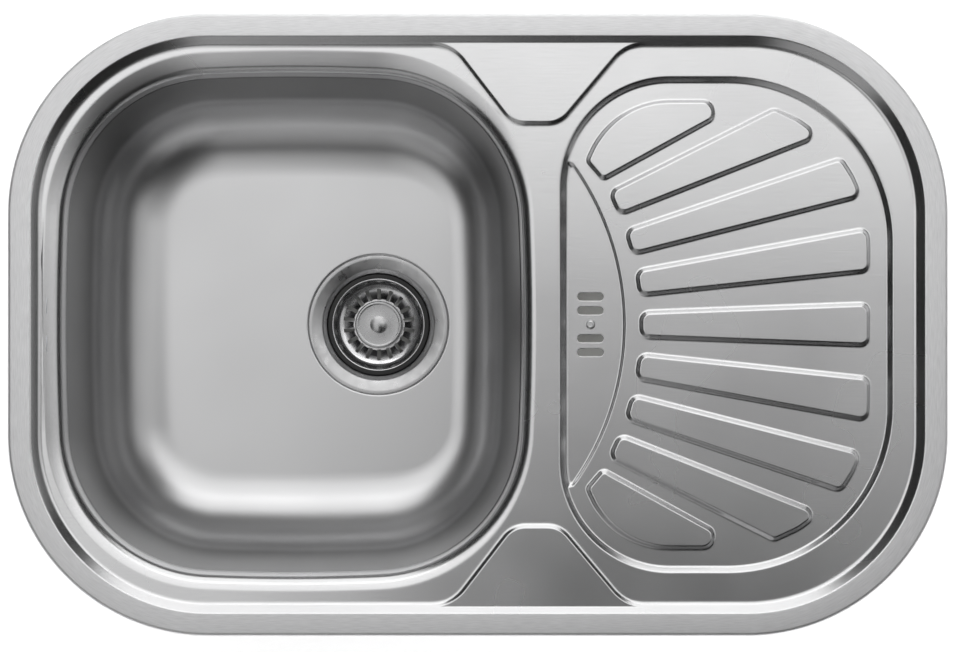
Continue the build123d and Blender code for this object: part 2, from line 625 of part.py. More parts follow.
def overflow_body():
    """The box under the overflow slots, with a bar for its screw and a socket for the pipe."""
    floor = OVERFLOW_FLOOR_Z + OVERFLOW_WALL
    bar_foot = OVERFLOW_Z - OVERFLOW_BAR_DEPTH
    box = slab(OVERFLOW_BOX_LENGTH, OVERFLOW_BOX_WIDTH, OVERFLOW_FLOOR_Z, OVERFLOW_Z)
    box -= slab(OVERFLOW_INNER_LENGTH, OVERFLOW_INNER_WIDTH, floor, OVERFLOW_Z + MARGIN)
    box += slab(OVERFLOW_BOX_LENGTH, OVERFLOW_BAR_WIDTH, bar_foot, OVERFLOW_Z)
    box += post(STUB_RADIUS, OVERFLOW_STUB_Z, OVERFLOW_FLOOR_Z)
    box -= post(STUB_BORE, OVERFLOW_STUB_Z - MARGIN, PIPE_TOP_Z)
    box -= post(PIPE_DIAMETER / 2 - PIPE_WALL, OVERFLOW_STUB_Z, bar_foot)
    box -= post(OVERFLOW_INSERT_DIAMETER / 2, OVERFLOW_Z - OVERFLOW_INSERT_LENGTH, OVERFLOW_Z + MARGIN)
    return Pos(OVERFLOW_X, 0, 0) * box


def overflow_insert():
    """The brass insert in the overflow box's bar."""
    bore = OVERFLOW_SCREW_DIAMETER / 2 + THREAD_GAP
    sleeve = ring(OVERFLOW_INSERT_DIAMETER / 2, bore, OVERFLOW_Z - OVERFLOW_INSERT_LENGTH, OVERFLOW_Z)
    return Pos(OVERFLOW_X, 0, 0) * sleeve


def overflow_screw():
    """The screw in the middle of the overflow slots."""
    head = post(OVERFLOW_HEAD_DIAMETER / 2, CRESCENT_Z, CRESCENT_Z + OVERFLOW_HEAD_HEIGHT)
    head = fillet(head.edges().sort_by(Axis.Z)[-1], OVERFLOW_HEAD_HEIGHT / 2)
    shank = post(OVERFLOW_SCREW_DIAMETER / 2, OVERFLOW_Z - OVERFLOW_INSERT_LENGTH, CRESCENT_Z)
    return Pos(OVERFLOW_X, 0, 0) * (head + shank)


def overflow_pipe():
    """The rigid pipe from the overflow box down and across to the waste body."""
    top, corner = (OVERFLOW_X, 0, PIPE_TOP_Z), (OVERFLOW_X, 0, PIPE_Z)
    end = (DRAIN_X + BODY_STUB_REACH - SOCKET_DEPTH, 0, PIPE_Z)
    path = FilletPolyline(top, corner, end, radius=PIPE_BEND)
    section = Circle(PIPE_DIAMETER / 2) - Circle(PIPE_DIAMETER / 2 - PIPE_WALL)
    return sweep(Plane(origin=top, z_dir=(0, 0, -1)) * section, path=path)


def union_seal():
    """A pipe union's rubber ring, between the socket's end at z = 0 and the nut's lip."""
    return ring(STUB_RADIUS, PIPE_DIAMETER / 2, -UNION_SEAL, 0)


def union_nut():
    """A pipe union's nut: it grips the socket above z = 0 and presses its ring up from below."""
    bore = STUB_RADIUS + THREAD_GAP
    outer = bore + UNION_WALL
    foot = -UNION_SEAL - UNION_LIP
    nut = post(outer, foot, UNION_GRIP)
    nut -= post(bore, -UNION_SEAL, UNION_GRIP + MARGIN)
    nut -= post(STUB_BORE, foot - MARGIN, 0)
    for step in range(UNION_FLUTES):
        turn = Rot(0, 0, 360 / UNION_FLUTES * step)
        nut -= turn * Pos(outer, 0, 0) * post(UNION_FLUTE_RADIUS, foot - MARGIN, UNION_GRIP + MARGIN)
    return nut


def union_places():
    """Where the two unions sit: each socket's end, with z into the socket."""
    top = Pos(OVERFLOW_X, 0, OVERFLOW_STUB_Z)
    bottom = Pos(DRAIN_X + BODY_STUB_REACH, 0, PIPE_Z) * Rot(0, -90, 0)
    return {"top": top, "bottom": bottom}


def clip_places():
    """The clips' screw axes, each turned so that its +X points out to the nearest edge."""
    back, right = SINK_WIDTH / 2 - CLIP_INSET, SINK_LENGTH / 2 - CLIP_INSET
    end = SINK_LENGTH / 2 - CLIP_END_INSET
    middle = PAD_X - PAD_NOSE_WIDTH / 2 - PAD_LEFT_FLARE - CLIP_PAD_GAP
    along = (-end, middle, end)
    places = [Pos(x, back, 0) * Rot(0, 0, 90) for x in along]
    places += [Pos(right, 0, 0)]
    places += [Pos(x, -back, 0) * Rot(0, 0, -90) for x in reversed(along)]
    places += [Pos(-right, 0, 0) * Rot(0, 0, 180)]
    return places


def clip_bracket():
    """A clip's bracket: two feet welded under the deck, two legs and a threaded crown."""
    half = CLIP_SPAN / 2
    crown_foot = CROWN_Z - CLIP_CROWN_THICKNESS
    bracket = slab(CLIP_CROWN_WIDTH, CLIP_SPAN + 2 * CLIP_SHEET, crown_foot, CROWN_Z)
    for side in (-1, 1):
        leg = Pos(0, side * (half + CLIP_SHEET / 2), 0)
        bracket += leg * slab(CLIP_FOOT_WIDTH, CLIP_SHEET, crown_foot, CLIP_Z)
        foot = Pos(0, side * (half + CLIP_FOOT_LENGTH / 2), 0)
        bracket += foot * slab(CLIP_FOOT_WIDTH, CLIP_FOOT_LENGTH, CLIP_Z - CLIP_SHEET, CLIP_Z)
    return bracket - post(SCREW_DIAMETER / 2 + THREAD_GAP, crown_foot - MARGIN, CROWN_Z + MARGIN)


def clip_screw():
    """A clip's screw, threaded up through the bracket, with the claw resting on its head."""
    shank = post(SCREW_DIAMETER / 2, CLAW_Z, CROWN_Z + SCREW_STICKOUT)
    return shank + post(SCREW_HEAD_DIAMETER / 2, CLAW_Z - SCREW_HEAD_HEIGHT, CLAW_Z)


def clip_claw():
    """A clip's claw, parked along the edge, with a tip that bears on the worktop's underside."""
    arm = Pos(CLAW_REACH / 2, 0, 0) * slab(CLAW_REACH, CLAW_WIDTH, CLAW_Z, CLAW_Z + CLAW_SHEET)
    arm += post(CLAW_WIDTH / 2, CLAW_Z, CLAW_Z + CLAW_SHEET)
    tip_x = CLAW_REACH - CLAW_SHEET / 2
    arm += Pos(tip_x, 0, 0) * slab(CLAW_SHEET, CLAW_WIDTH, CLAW_Z, -WORKTOP_MAX)
    tip = Pos(CLAW_REACH - CLAW_TIP / 2, 0, 0)
    arm += tip * slab(CLAW_TIP, CLAW_WIDTH, -WORKTOP_MAX - CLAW_SHEET, -WORKTOP_MAX)
    arm -= post(SCREW_DIAMETER / 2 + THREAD_GAP, CLAW_Z - MARGIN, CLAW_Z + CLAW_SHEET + MARGIN)
    return Rot(0, 0, -90) * arm


def all_parts():
    """Every node's shape by name."""
    parts = {
        "drainer_plate": drainer_plate(),
        "bowl": bowl(),
        "rim_gasket": rim_gasket(),
        "sound_pad": sound_pad(),
        "strainer_flange": strainer_flange(),
        "flange_gasket": flange_gasket(),
        "body_gasket": body_gasket(),
        "waste_body": waste_body(),
        "clamp_screw": clamp_screw(),
        "clamp_insert": clamp_insert(),
        "basket": basket(),
        "basket_seal": basket_seal(),
        "basket_knob": basket_knob(),
        "basket_pin": basket_pin(),
        "overflow_gasket": overflow_gasket(),
        "overflow_body": overflow_body(),
        "overflow_insert": overflow_insert(),
        "overflow_screw": overflow_screw(),
        "overflow_pipe": overflow_pipe(),
    }
    for end, place in union_places().items():
        parts[f"pipe_seal_{end}"] = place * union_seal()
        parts[f"pipe_nut_{end}"] = place * union_nut()
    places = clip_places()
    parts["clip_brackets"] = Compound([place * clip_bracket() for place in places])
    for number, place in enumerate(places, start=1):
        parts[f"clip_screw_{number}"] = place * clip_screw()
        parts[f"clip_claw_{number}"] = place * clip_claw()
    return parts


os.makedirs("parts", exist_ok=True)
for name, shape in all_parts().items():
    export_step(shape, f"parts/{name}.step")
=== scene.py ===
import math
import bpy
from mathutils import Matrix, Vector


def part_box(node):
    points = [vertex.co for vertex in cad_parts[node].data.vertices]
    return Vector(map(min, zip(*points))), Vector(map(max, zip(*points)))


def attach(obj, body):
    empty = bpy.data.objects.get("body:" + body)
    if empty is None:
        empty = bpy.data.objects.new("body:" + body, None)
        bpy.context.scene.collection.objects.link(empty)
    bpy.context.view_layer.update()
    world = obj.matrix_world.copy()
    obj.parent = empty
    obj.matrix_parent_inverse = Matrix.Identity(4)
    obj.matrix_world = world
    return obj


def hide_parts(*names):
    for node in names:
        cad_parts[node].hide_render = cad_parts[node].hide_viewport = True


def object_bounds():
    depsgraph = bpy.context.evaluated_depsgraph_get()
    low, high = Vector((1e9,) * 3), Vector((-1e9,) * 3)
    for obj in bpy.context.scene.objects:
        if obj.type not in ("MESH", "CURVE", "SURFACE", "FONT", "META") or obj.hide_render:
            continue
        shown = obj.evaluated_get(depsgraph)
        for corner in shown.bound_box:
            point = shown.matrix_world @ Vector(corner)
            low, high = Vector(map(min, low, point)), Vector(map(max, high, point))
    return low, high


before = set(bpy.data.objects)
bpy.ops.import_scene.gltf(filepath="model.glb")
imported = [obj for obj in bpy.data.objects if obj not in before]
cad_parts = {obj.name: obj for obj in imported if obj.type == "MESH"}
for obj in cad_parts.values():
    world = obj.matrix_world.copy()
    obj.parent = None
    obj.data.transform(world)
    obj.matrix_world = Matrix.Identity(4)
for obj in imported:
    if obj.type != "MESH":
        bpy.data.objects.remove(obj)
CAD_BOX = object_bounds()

from types import SimpleNamespace

import bmesh
import bpy
from bpy.props import FloatProperty, FloatVectorProperty, PointerProperty
from mathutils import Matrix, Vector

bl_info = {
    "name": "Inset sink",
    "version": (1, 0, 0),
    "blender": (4, 5, 0),
    "location": "View3D > Sidebar > Sink",
    "description": "Dresses the packed sink: pressed plate, bowl, strainer, overflow, clips and studio",
    "category": "Object",
}

SINK = "sink"
BASKET = "basket"
CLIPS = 8

# Distances that count as none, angles between faces, and widths of eased edges
SAME = 2e-6
MERGED = 1e-6
FLAT_ANGLE = math.radians(0.5)
SHARP_ANGLE = math.radians(40)
EASED_EDGE = 0.0003
STRIP_EDGE = 0.0006
SOUND_PAD_EDGE = 0.0008

# Stations round a curve, the share of a step kept clear beside a cut, and steps of a search
OUTLINE_DEGREES = 2.5
ROUND_STATIONS = 96
CUT_ROOM = 0.3
HALVINGS = 40

# Small fixed forms of the plate: a bend is a radius, a flat is a level run beside a bend
RIM = SimpleNamespace(bend=0.0030, ground_end=0.0006, foot_bend=0.0060, deck_flat=0.0026)
PAD = SimpleNamespace(
    nose_bend=0.020, flat=0.0011, seam_bend=0.0022, seam_reach=0.0009, edge_bend=0.0020, foot_bend=0.0040,
    room=0.0026, stations=13, spacing=0.002,
)
COLLAR = SimpleNamespace(
    flat=0.0004, turn=0.0001, turn_rise=0.0006, turn_bend=0.0008, weld=0.0004,
    fall=0.0058, fall_flat=0.0075, fall_start=0.0062, fall_bend=0.006, front_share=0.3, left_share=0.6,
)
CRESCENT = SimpleNamespace(
    foot_flat=0.0016, foot_bend=0.0022, edge_bend=0.0016, edge_flat=0.0014, stations=60,
)
TRAY_WALL = SimpleNamespace(
    edge_flat=0.0016, edge_bend=0.0026, foot_bend=0.0028, foot_flat=0.0017, reach=0.0088,
)
RIB = SimpleNamespace(
    beside=3, outer_lean=1.46, start_bend=0.0085, end_bend=0.008, nose_bend=0.04,
    foot_flat=0.0016, foot_bend=0.0024, top_bend=0.0018, top_flat=0.0012,
)
CORNER_RIB = SimpleNamespace(
    tilt=math.radians(28.8), start_x=0.037, start_y=0.0805, end_x=0.1225, toe=0.0035, heel=0.007,
    leave=math.radians(157), tip_bend=0.006, end_bend=0.008, back_bend=0.010,
)
SLOT = SimpleNamespace(places=(-2, -1, 1, 2), flat=0.0008, bend=0.0005, depth=0.0007, end_share=0.999)

# Small fixed forms of the bowl and the strainer
BOWL = SimpleNamespace(
    side_stations=10, corner_stations=24, floor_run=0.9,
    shoulder=0.0006, shoulder_drop=0.0005, shoulder_bend=0.0005,
)
RECESS = SimpleNamespace(flat=0.0011, edge_bend=0.0022, foot_bend=0.0015)
STRAINER = SimpleNamespace(
    sheet=0.0008, edge=0.0006, edge_bend=0.0005, dish=0.012, dish_bend=0.004, dish_drop=0.0022,
    neck=0.0035, neck_bend=0.0014, corner_bend=0.0008, seat=0.0035, seat_bend=0.0010,
    foot=0.006, foot_bend=0.0016, foot_flat=0.0085,
    screw_hole=0.0052, hole_stations=32, hole_flat=0.0006, hole_depth=0.0004,
)
WINDOW = SimpleNamespace(count=6, inner=0.0125, outer=0.0345, spread=0.42, taper=0.62, bend=0.002)

# Small fixed forms of the basket and the overflow's screw
CUP = SimpleNamespace(
    sheet=0.0007, lip_edge=0.0004, lip_bend=0.0003, lip_width=0.0009, lip_inner_bend=0.0006,
    wall_inset=0.0022, wall_drop=0.0040, wall_bend=0.0010, knee=0.0342, knee_bend=0.0022,
    cone_rise=0.0040, cone_foot=0.0216, cone_bend=0.0012, floor_ring=0.0150,
    slots=18, slot_half=0.0016, slot_start=0.0208, slot_end=0.0300, slot_room=0.4,
    sector_stations=7, slot_stations={2, 3, 4},
)
SEAL = SimpleNamespace(
    inner=0.0378, outer=0.0426, height=0.003, low_bend=0.0006, outer_bend=0.0014, inner_bend=0.0008,
)
KNOB = SimpleNamespace(
    button=0.0072, button_rise=0.0013, dome=0.0036, dome_rise=0.0012, dome_bend=0.012, dish_drop=0.0001,
    lip=0.0030, lip_crest=0.0022, lip_rise=0.0002, lip_bend=0.0010, edge_bend=0.0014, under=0.0036,
    flare=0.0075, flare_bend=0.002, stem=0.0050, stem_top=0.0060, stem_bend=0.003, crease=math.radians(60),
)
SCREW = SimpleNamespace(
    socket=0.0014, socket_floor=0.0009, mouth=0.0017, mouth_bend=0.0002, top_drop=0.0001, crown=0.0026,
    crown_bend=0.0012, head=0.0037, head_edge=0.0004, head_bend=0.0003, shank=0.0020, tip=0.0016,
    tip_length=0.0004, stations=48,
)

# Finishes: where a noise's levels lie, and the painted shade that darkens the bowl's wall along its depth
NOISE_LEVELS = (0.3, 0.7)
BOWL_WALL_SHADE = SimpleNamespace(depth=0.115, fade=1.3, tone=0.45, floor=1.0)

# Studio: softboxes as (name, level, share of that level, place, size, aim in plan), room and floor
SOFTBOXES = (
    ("back", "overhead", 1.0, (0.0, 0.77, 1.6), (2.2, 1.28), (0.0, 0.77)),
    ("left", "overhead", 0.70, (-0.61, -0.24, 1.6), (0.98, 0.74), (-0.61, -0.24)),
    ("front", "overhead", 0.55, (-0.61, -0.91, 1.6), (0.98, 0.6), (-0.61, -0.91)),
    ("middle", "overhead", 0.26, (0.24, -0.04, 1.6), (0.72, 0.36), (0.24, -0.04)),
    ("right", "overhead", 0.62, (0.66, -0.06, 1.6), (0.30, 0.5), (0.66, -0.06)),
    ("high", "behind", 1.0, (0.0, 2.0, 1.67), (2.4, 1.25), (0.0, 0.0)),
    ("low", "behind", 1.0, (0.25, 2.5, 0.6), (2.8, 1.2), (0.0, 0.0)),
    ("window", "window", 1.0, (-1.0, -2.2, 1.0), (2.0, 1.5), (-0.5, 0.0)),
    ("side", "window", 1.5, (1.75, 0.1, 1.55), (1.7, 1.4), (0.0, 0.0)),
    ("fill", "fill", 1.0, (0.0, 0.0, 2.8), (5.0, 5.0), (0.0, 0.0)),
)
WATTS_PER_SQUARE_METRE = 4.0
SENSOR_WIDTH = 36.0
VIEW_END = 50.0
ROOM_TONES = ((0.02, 0.10), (0.55, 0.35), (1.0, 1.0))
ROOM_DEPTH = 0.8
ROOM_SHARES = (0.35, 1.6)
FLOOR = SimpleNamespace(half=6.0, gap=0.001, roughness=0.9, glow=0.55)


def length(name, description, default):
    """A size in metres."""
    return FloatProperty(name=name, description=description, default=default, unit="LENGTH", precision=5)


def angle(name, description, degrees):
    """An angle, given in degrees."""
    return FloatProperty(name=name, description=description, default=math.radians(degrees), subtype="ANGLE")


def colour(name, description, default):
    """A linear colour."""
    return FloatVectorProperty(name=name, description=description, default=default, subtype="COLOR")


def level(name, description, default):
    """A plain number such as a roughness or a lamp's brightness."""
    return FloatProperty(name=name, description=description, default=default, min=0.0)


class SinkPlateSizes(bpy.types.PropertyGroup):
    """The pressed plate."""

    length: length("Length", "From end to end", 0.740)
    width: length("Width", "From front to back", 0.490)
    outline_radius: length("Outline radius", "Corner of the outline", 0.158)
    sheet: length("Sheet", "Thickness of the steel", 0.0008)
    lip: length("Lip", "Lower edge of the rim's lip above the worktop", 0.0003)
    rim: length("Rim", "Height of the rim's flat", 0.005)
    pad_top: length("Pads", "Height of the two pads", 0.0011)
    deck: length("Deck", "Height of the deck round bowl and tray", -0.001)
    tray: length("Tray", "Height of the tray's floor", -0.005)
    crescent: length("Crescent", "Height of the low crescent by the overflow", -0.007)
    rib: length("Rib", "Height of the ribs' tops", -0.002)
    rim_edge: length("Rim edge", "Radius of the outer edge", 0.003)
    rim_width: length("Rim width", "Outline to the top of the slope", 0.018)
    rim_slope: angle("Rim slope", "Slope from rim to deck", 40)
    pad_x: length("Pad middle", "Place of the two pads along the sink", 0.046)
    pad_nose: length("Pad nose", "Width of a pad's nose", 0.036)
    pad_left: length("Pad left flare", "How far the left flank runs out", 0.0482)
    pad_right: length("Pad right flare", "How far the right flank runs out", 0.0525)
    pad_reach: length("Pad reach", "How far a pad runs in from the deck's edge", 0.06245)
    pad_root: length("Pad root", "Radius where a pad leaves the rim", 0.034)


class SinkTraySizes(bpy.types.PropertyGroup):
    """The drainer tray and its ribs."""

    left: length("Left", "Left edge", 0.0645)
    right: length("Right", "Right edge", 0.327)
    width: length("Width", "From front to back", 0.390)
    left_radius: length("Left radius", "Corners beside the bowl", 0.087)
    right_radius: length("Right radius", "Corners at the outer end", 0.130)
    fan_x: length("Fan centre", "Where the ribs' middle lines meet", -0.101)
    crescent_radius: length("Crescent radius", "Foot of the crescent's step", 0.2157)
    rib_start: length("Rib start", "Ribs' inner ends from the fan centre", 0.2285)
    rib_width: length("Rib width", "A rib's inner end", 0.022)
    rib_margin: length("Rib margin", "Tray edge to the ribs' feet", 0.0175)
    rib_pitch: angle("Rib pitch", "Angle between ribs", 8.2)
    rib_flare: angle("Rib flare", "Angle between a rib's sides", 4.3)
    overflow_x: length("Overflow", "Middle of the overflow slots", 0.089)
    slot_length: length("Slot length", "An overflow slot", 0.0205)
    slot_width: length("Slot width", "An overflow slot", 0.006)
    slot_pitch: length("Slot pitch", "Between overflow slots", 0.011)


class SinkBowlSizes(bpy.types.PropertyGroup):
    """The bowl, measured at its weld seam."""

    x: length("Middle", "Place along the sink", -0.146)
    length: length("Length", "Along the sink", 0.361)
    width: length("Width", "From front to back", 0.393)
    corner: length("Corner", "Corner radius", 0.115)
    side_bulge: length("Side bulge", "Radius of the left and right sides", 1.9)
    front_bulge: length("Front bulge", "Radius of the front and back sides", 1.6)
    seam: length("Seam", "Height of the weld seam", -0.022)
    floor: length("Floor", "Height of the floor", -0.175)
    floor_radius: length("Floor radius", "Between wall and floor at the drain", 0.039)
    floor_bend: length("Floor bend", "Between wall and floor on the other sides", 0.058)
    roll: length("Roll", "Radius of the rolled mouth", 0.010)
    draft: angle("Draft", "Slope of the walls", 8.0)


class SinkDrainSizes(bpy.types.PropertyGroup):
    """The basket strainer, with radii from its own axis."""

    x: length("Middle", "Place along the sink", -0.083)
    recess: length("Recess", "Radius of the bowl's recess", 0.059)
    recess_floor: length("Recess floor", "Height of the recess's floor", -0.1786)
    hole: length("Hole", "Radius of the drain hole", 0.0465)
    flange: length("Flange", "Radius of the flange", 0.0579)
    flange_top: length("Flange top", "Height of the flange", -0.1754)
    cup: length("Cup", "Radius of the strainer cup", 0.043)
    seat: length("Seat", "Height of the step under the seal", -0.185)
    foot: length("Foot", "Height of the cup's foot", -0.212)
    lip: length("Lip", "Radius of the basket's lip", 0.0385)
    lip_top: length("Lip top", "Height of the basket's lip", -0.1813)
    basket_floor: length("Basket floor", "Height of the basket's floor", -0.2043)
    knob: length("Knob", "Radius of the pull knob", 0.01975)
    knob_top: length("Knob top", "Height of the knob's top", -0.1863)


class SinkFinishes(bpy.types.PropertyGroup):
    """Colours and gloss of the pieces."""

    steel: colour("Steel", "Satin stainless steel", (0.72, 0.72, 0.725))
    bright_steel: colour("Bright steel", "Polished stainless steel", (0.78, 0.78, 0.785))
    zinc: colour("Zinc", "Plated clip parts", (0.60, 0.62, 0.65))
    brass: colour("Brass", "Turned brass", (0.72, 0.53, 0.24))
    rubber: colour("Rubber", "Black rubber", (0.012, 0.012, 0.012))
    foam: colour("Foam", "Grey foam strip", (0.11, 0.11, 0.115))
    pad: colour("Pad", "Bitumen damping pad", (0.055, 0.055, 0.058))
    white_plastic: colour("White plastic", "Moulded waste and overflow", (0.80, 0.80, 0.78))
    grey_plastic: colour("Grey plastic", "Union nuts", (0.36, 0.37, 0.38))
    plate_gloss: level("Plate roughness", "Roughness of the plate", 0.26)
    rim_gloss: level("Rim roughness", "Roughness of the ground rim", 0.55)
    bowl_gloss: level("Bowl roughness", "Roughness of the bowl", 0.32)


class SinkStudio(bpy.types.PropertyGroup):
    """Camera, lamps and floor."""

    camera_height: length("Camera height", "Camera above the worktop", 3.005)
    camera_x: length("Camera side", "Camera along the sink", 0.00177)
    camera_y: length("Camera depth", "Camera from front to back", -0.0011)
    lens: FloatProperty(name="Lens", description="Focal length", default=143.1, unit="CAMERA")
    overhead: level("Overhead", "Radiance of the softboxes above", 0.88)
    behind: level("Behind", "Radiance of the softboxes behind", 1.00)
    window: level("Window", "Radiance of the softboxes low in front and beside", 0.30)
    fill: level("Fill", "Radiance of the fill that only dull surfaces take", 0.75)
    room: level("Room", "Radiance of the room", 0.05)
    floor: colour("Floor", "Pale floor", (0.93, 0.93, 0.93))


def turned(vector, turn):
    """A plan vector turned about the origin."""
    return Matrix.Rotation(turn, 2) @ vector


def corner_arc(before, here, after, radius, step, cuts=()):
    """Points and outward normals that round one corner of a path which keeps its inside on the left."""
    into, out = (here - before).normalized(), (after - here).normalized()
    turn = math.atan2(into.x * out.y - into.y * out.x, into.dot(out))
    side = math.copysign(1.0, turn)
    normal = Vector((into.y, -into.x))
    centre = here - into * radius * math.tan(abs(turn) / 2) - normal * radius * side
    count = max(2, math.ceil(abs(turn) / step))
    first = math.atan2(normal.y, normal.x)
    shares = [k / count for k in range(count + 1)]
    cuts = [((cut - first) % math.tau) / turn for cut in cuts]
    if cuts:
        room = CUT_ROOM / count
        shares = [s for s in shares if not min(cuts) - room < s < max(cuts) + room] + cuts
    arc = []
    for share in sorted(shares):
        away = turned(normal, turn * share)
        arc.append((centre + away * radius * side, away))
    return arc


def rounded_outline(corners, degrees, cuts=None):
    """A closed plan outline from (x, y, radius) corners, as points with outward normals."""
    spots = [Vector(c[:2]) for c in corners]
    outline = []
    for i, here in enumerate(spots):
        before, after, radius = spots[i - 1], spots[(i + 1) % len(spots)], corners[i][2]
        outline += corner_arc(before, here, after, radius, math.radians(degrees), (cuts or {}).get(i, ()))
    return outline


def bent_profile(points, degrees=7.5):
    """An open (across, height) profile whose inner corners are rounded by their radii."""
    rows = [Vector(points[0][:2])]
    for before, here, after in zip(points, points[1:], points[2:]):
        ends = [Vector(p[:2]) for p in (before, here, after)]
        if len(here) > 2:
            rows += [point for point, _ in corner_arc(*ends, here[2], math.radians(degrees))]
        else:
            rows.append(ends[1])
    return rows + [Vector(points[-1][:2])]


def padded(rows, extra):
    """The rows with the first stretch divided so that there are as many more."""
    return [rows[0].lerp(rows[1], k / (extra + 1)) for k in range(extra + 1)] + rows[1:]


def straightened(rows, bend, end):
    """The rows with those from bend onwards laid out evenly on a straight line to end."""
    last = len(rows) - 1 - bend
    return rows[:bend] + [rows[bend].lerp(end, k / last) for k in range(last + 1)]


def new_shell():
    """An empty mesh whose vertices know their place along a sweep."""
    bm = bmesh.new()
    bm.verts.layers.int.new("along")
    bm.loops.layers.uv.new("grain")
    return bm


def sweep(bm, count, rows, spot, closed=True, finish=0):
    """Extrudes a ring or chain of count vertices through rows; spot(i, row) says where each goes."""
    along, grain = bm.verts.layers.int["along"], bm.loops.layers.uv["grain"]
    ring = [bm.verts.new(spot(i, rows[0])) for i in range(count)]
    for i, vert in enumerate(ring):
        vert[along] = i
    run = [0.0]
    for i in range(count if closed else count - 1):
        run.append(run[-1] + (ring[(i + 1) % count].co - ring[i].co).length)
    edges = [bm.edges.new((ring[i], ring[i + 1])) for i in range(count - 1)]
    if closed:
        edges.append(bm.edges.new((ring[-1], ring[0])))
    across = 0.0
    for before, row in zip(rows, rows[1:]):
        made = bmesh.ops.extrude_edge_only(bm, edges=edges)["geom"]
        fresh = {v for v in made if isinstance(v, bmesh.types.BMVert)}
        for vert in fresh:
            vert.co = spot(vert[along], row)
        edges = [e for e in made if isinstance(e, bmesh.types.BMEdge) and fresh.issuperset(e.verts)]
        reach = across + (Vector(row) - Vector(before)).length
        for face in {f for e in edges for f in e.link_faces}:
            face.material_index = finish
            wraps = {0, count - 1} <= {v[along] for v in face.verts} and count > 2
            for loop in face.loops:
                i = loop.vert[along]
                u = run[-1] if wraps and i == 0 else run[i]
                loop[grain].uv = (u, reach if loop.vert in fresh else across)
        across = reach


def sweep_outline(bm, outline, rows):
    """Sweeps (outset, height) rows round an outline."""

    def spot(i, row):
        point, normal = outline[i]
        return (point + normal * row[0]).to_3d() + Vector((0, 0, row[1]))

    sweep(bm, len(outline), rows, spot)


def sweep_between(bm, outline, shares, full, plain, finish=0):
    """Sweeps (outset, height) rows that lie at full or plain, or between them by each station's share."""

    def spot(i, row):
        point, normal = outline[i]
        out, height = Vector(row[2:]).lerp(Vector(row[:2]), shares[i])
        return (point + normal * out).to_3d() + Vector((0, 0, height))

    sweep(bm, len(outline), [(*a, *b) for a, b in zip(full, plain)], spot, finish=finish)


def fill_level(bm, height):
    """Fills the flat between the open rings at one height."""
    open_edges = [e for e in bm.edges if len(e.link_faces) == 1]
    rings = [e for e in open_edges if all(abs(v.co.z - height) < SAME for v in e.verts)]
    bmesh.ops.triangle_fill(bm, edges=rings, use_beauty=True, normal=(0, 0, 1))


def tidy(bm, upward=False):
    """Merges doubles and turns faces outwards, or upwards on an open shell."""
    bmesh.ops.remove_doubles(bm, verts=bm.verts, dist=SAME)
    bmesh.ops.dissolve_degenerate(bm, edges=bm.edges, dist=SAME)
    bmesh.ops.recalc_face_normals(bm, faces=bm.faces)
    if upward and sum(f.normal.z * f.calc_area() for f in bm.faces) < 0:
        bmesh.ops.reverse_faces(bm, faces=bm.faces)


def place_piece(bm, name, body, node, slots, sheet=0.0, crease=SHARP_ANGLE):
    """Makes an object of a bmesh, with its wall and finishes, that rides on a body and stands for a node."""
    mesh = bpy.data.meshes.new(name)
    bm.to_mesh(mesh)
    bm.free()
    piece = bpy.data.objects.new(name, mesh)
    bpy.context.scene.collection.objects.link(piece)
    for slot in slots:
        mesh.materials.append(finish_for(slot))
    if sheet:
        wall = piece.modifiers.new("sheet", "SOLIDIFY")
        wall.thickness = sheet
        wall.offset = -1.0
        shown = piece.evaluated_get(bpy.context.evaluated_depsgraph_get())
        piece.data = bpy.data.meshes.new_from_object(shown)
        piece.modifiers.clear()
        bpy.data.meshes.remove(mesh)
        piece.data.name = name
    piece.data.polygons.foreach_set("use_smooth", [True] * len(piece.data.polygons))
    piece.data.set_sharp_from_angle(angle=crease)
    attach(piece, body)
    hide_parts(node)


def spun_piece(rows, x, name, body, node, slot, steps=ROUND_STATIONS, crease=SHARP_ANGLE):
    """A closed piece of (radius, height) rows spun about the upright axis at x."""
    bm, centre = new_shell(), Vector((x, 0, 0))
    verts = [bm.verts.new(centre + Vector((r, 0, z))) for r, z in rows]
    edges = [bm.edges.new(pair) for pair in zip(verts, verts[1:])]
    bmesh.ops.spin(
        bm, geom=verts + edges, cent=centre, axis=(0, 0, 1), angle=math.tau, steps=steps,
        use_merge=True, use_duplicate=False,
    )
    tidy(bm)
    place_piece(bm, name, body, node, [slot], crease=crease)


def dressed_copy(node, body, slot, edge=EASED_EDGE):
    """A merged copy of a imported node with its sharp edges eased, standing for that node."""
    bm = bmesh.new()
    bm.from_mesh(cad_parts[node].data)
    bmesh.ops.remove_doubles(bm, verts=bm.verts, dist=MERGED)
    bmesh.ops.dissolve_limit(bm, angle_limit=FLAT_ANGLE, verts=bm.verts, edges=bm.edges)
    sharp = [e for e in bm.edges if len(e.link_faces) == 2 and e.calc_face_angle() > SHARP_ANGLE]
    bmesh.ops.bevel(
        bm, geom=sharp, offset=edge, offset_type="OFFSET", affect="EDGES", segments=2, profile=0.5,
        material=-1, clamp_overlap=True,
    )
    place_piece(bm, node + "_dressed", body, node, [slot])


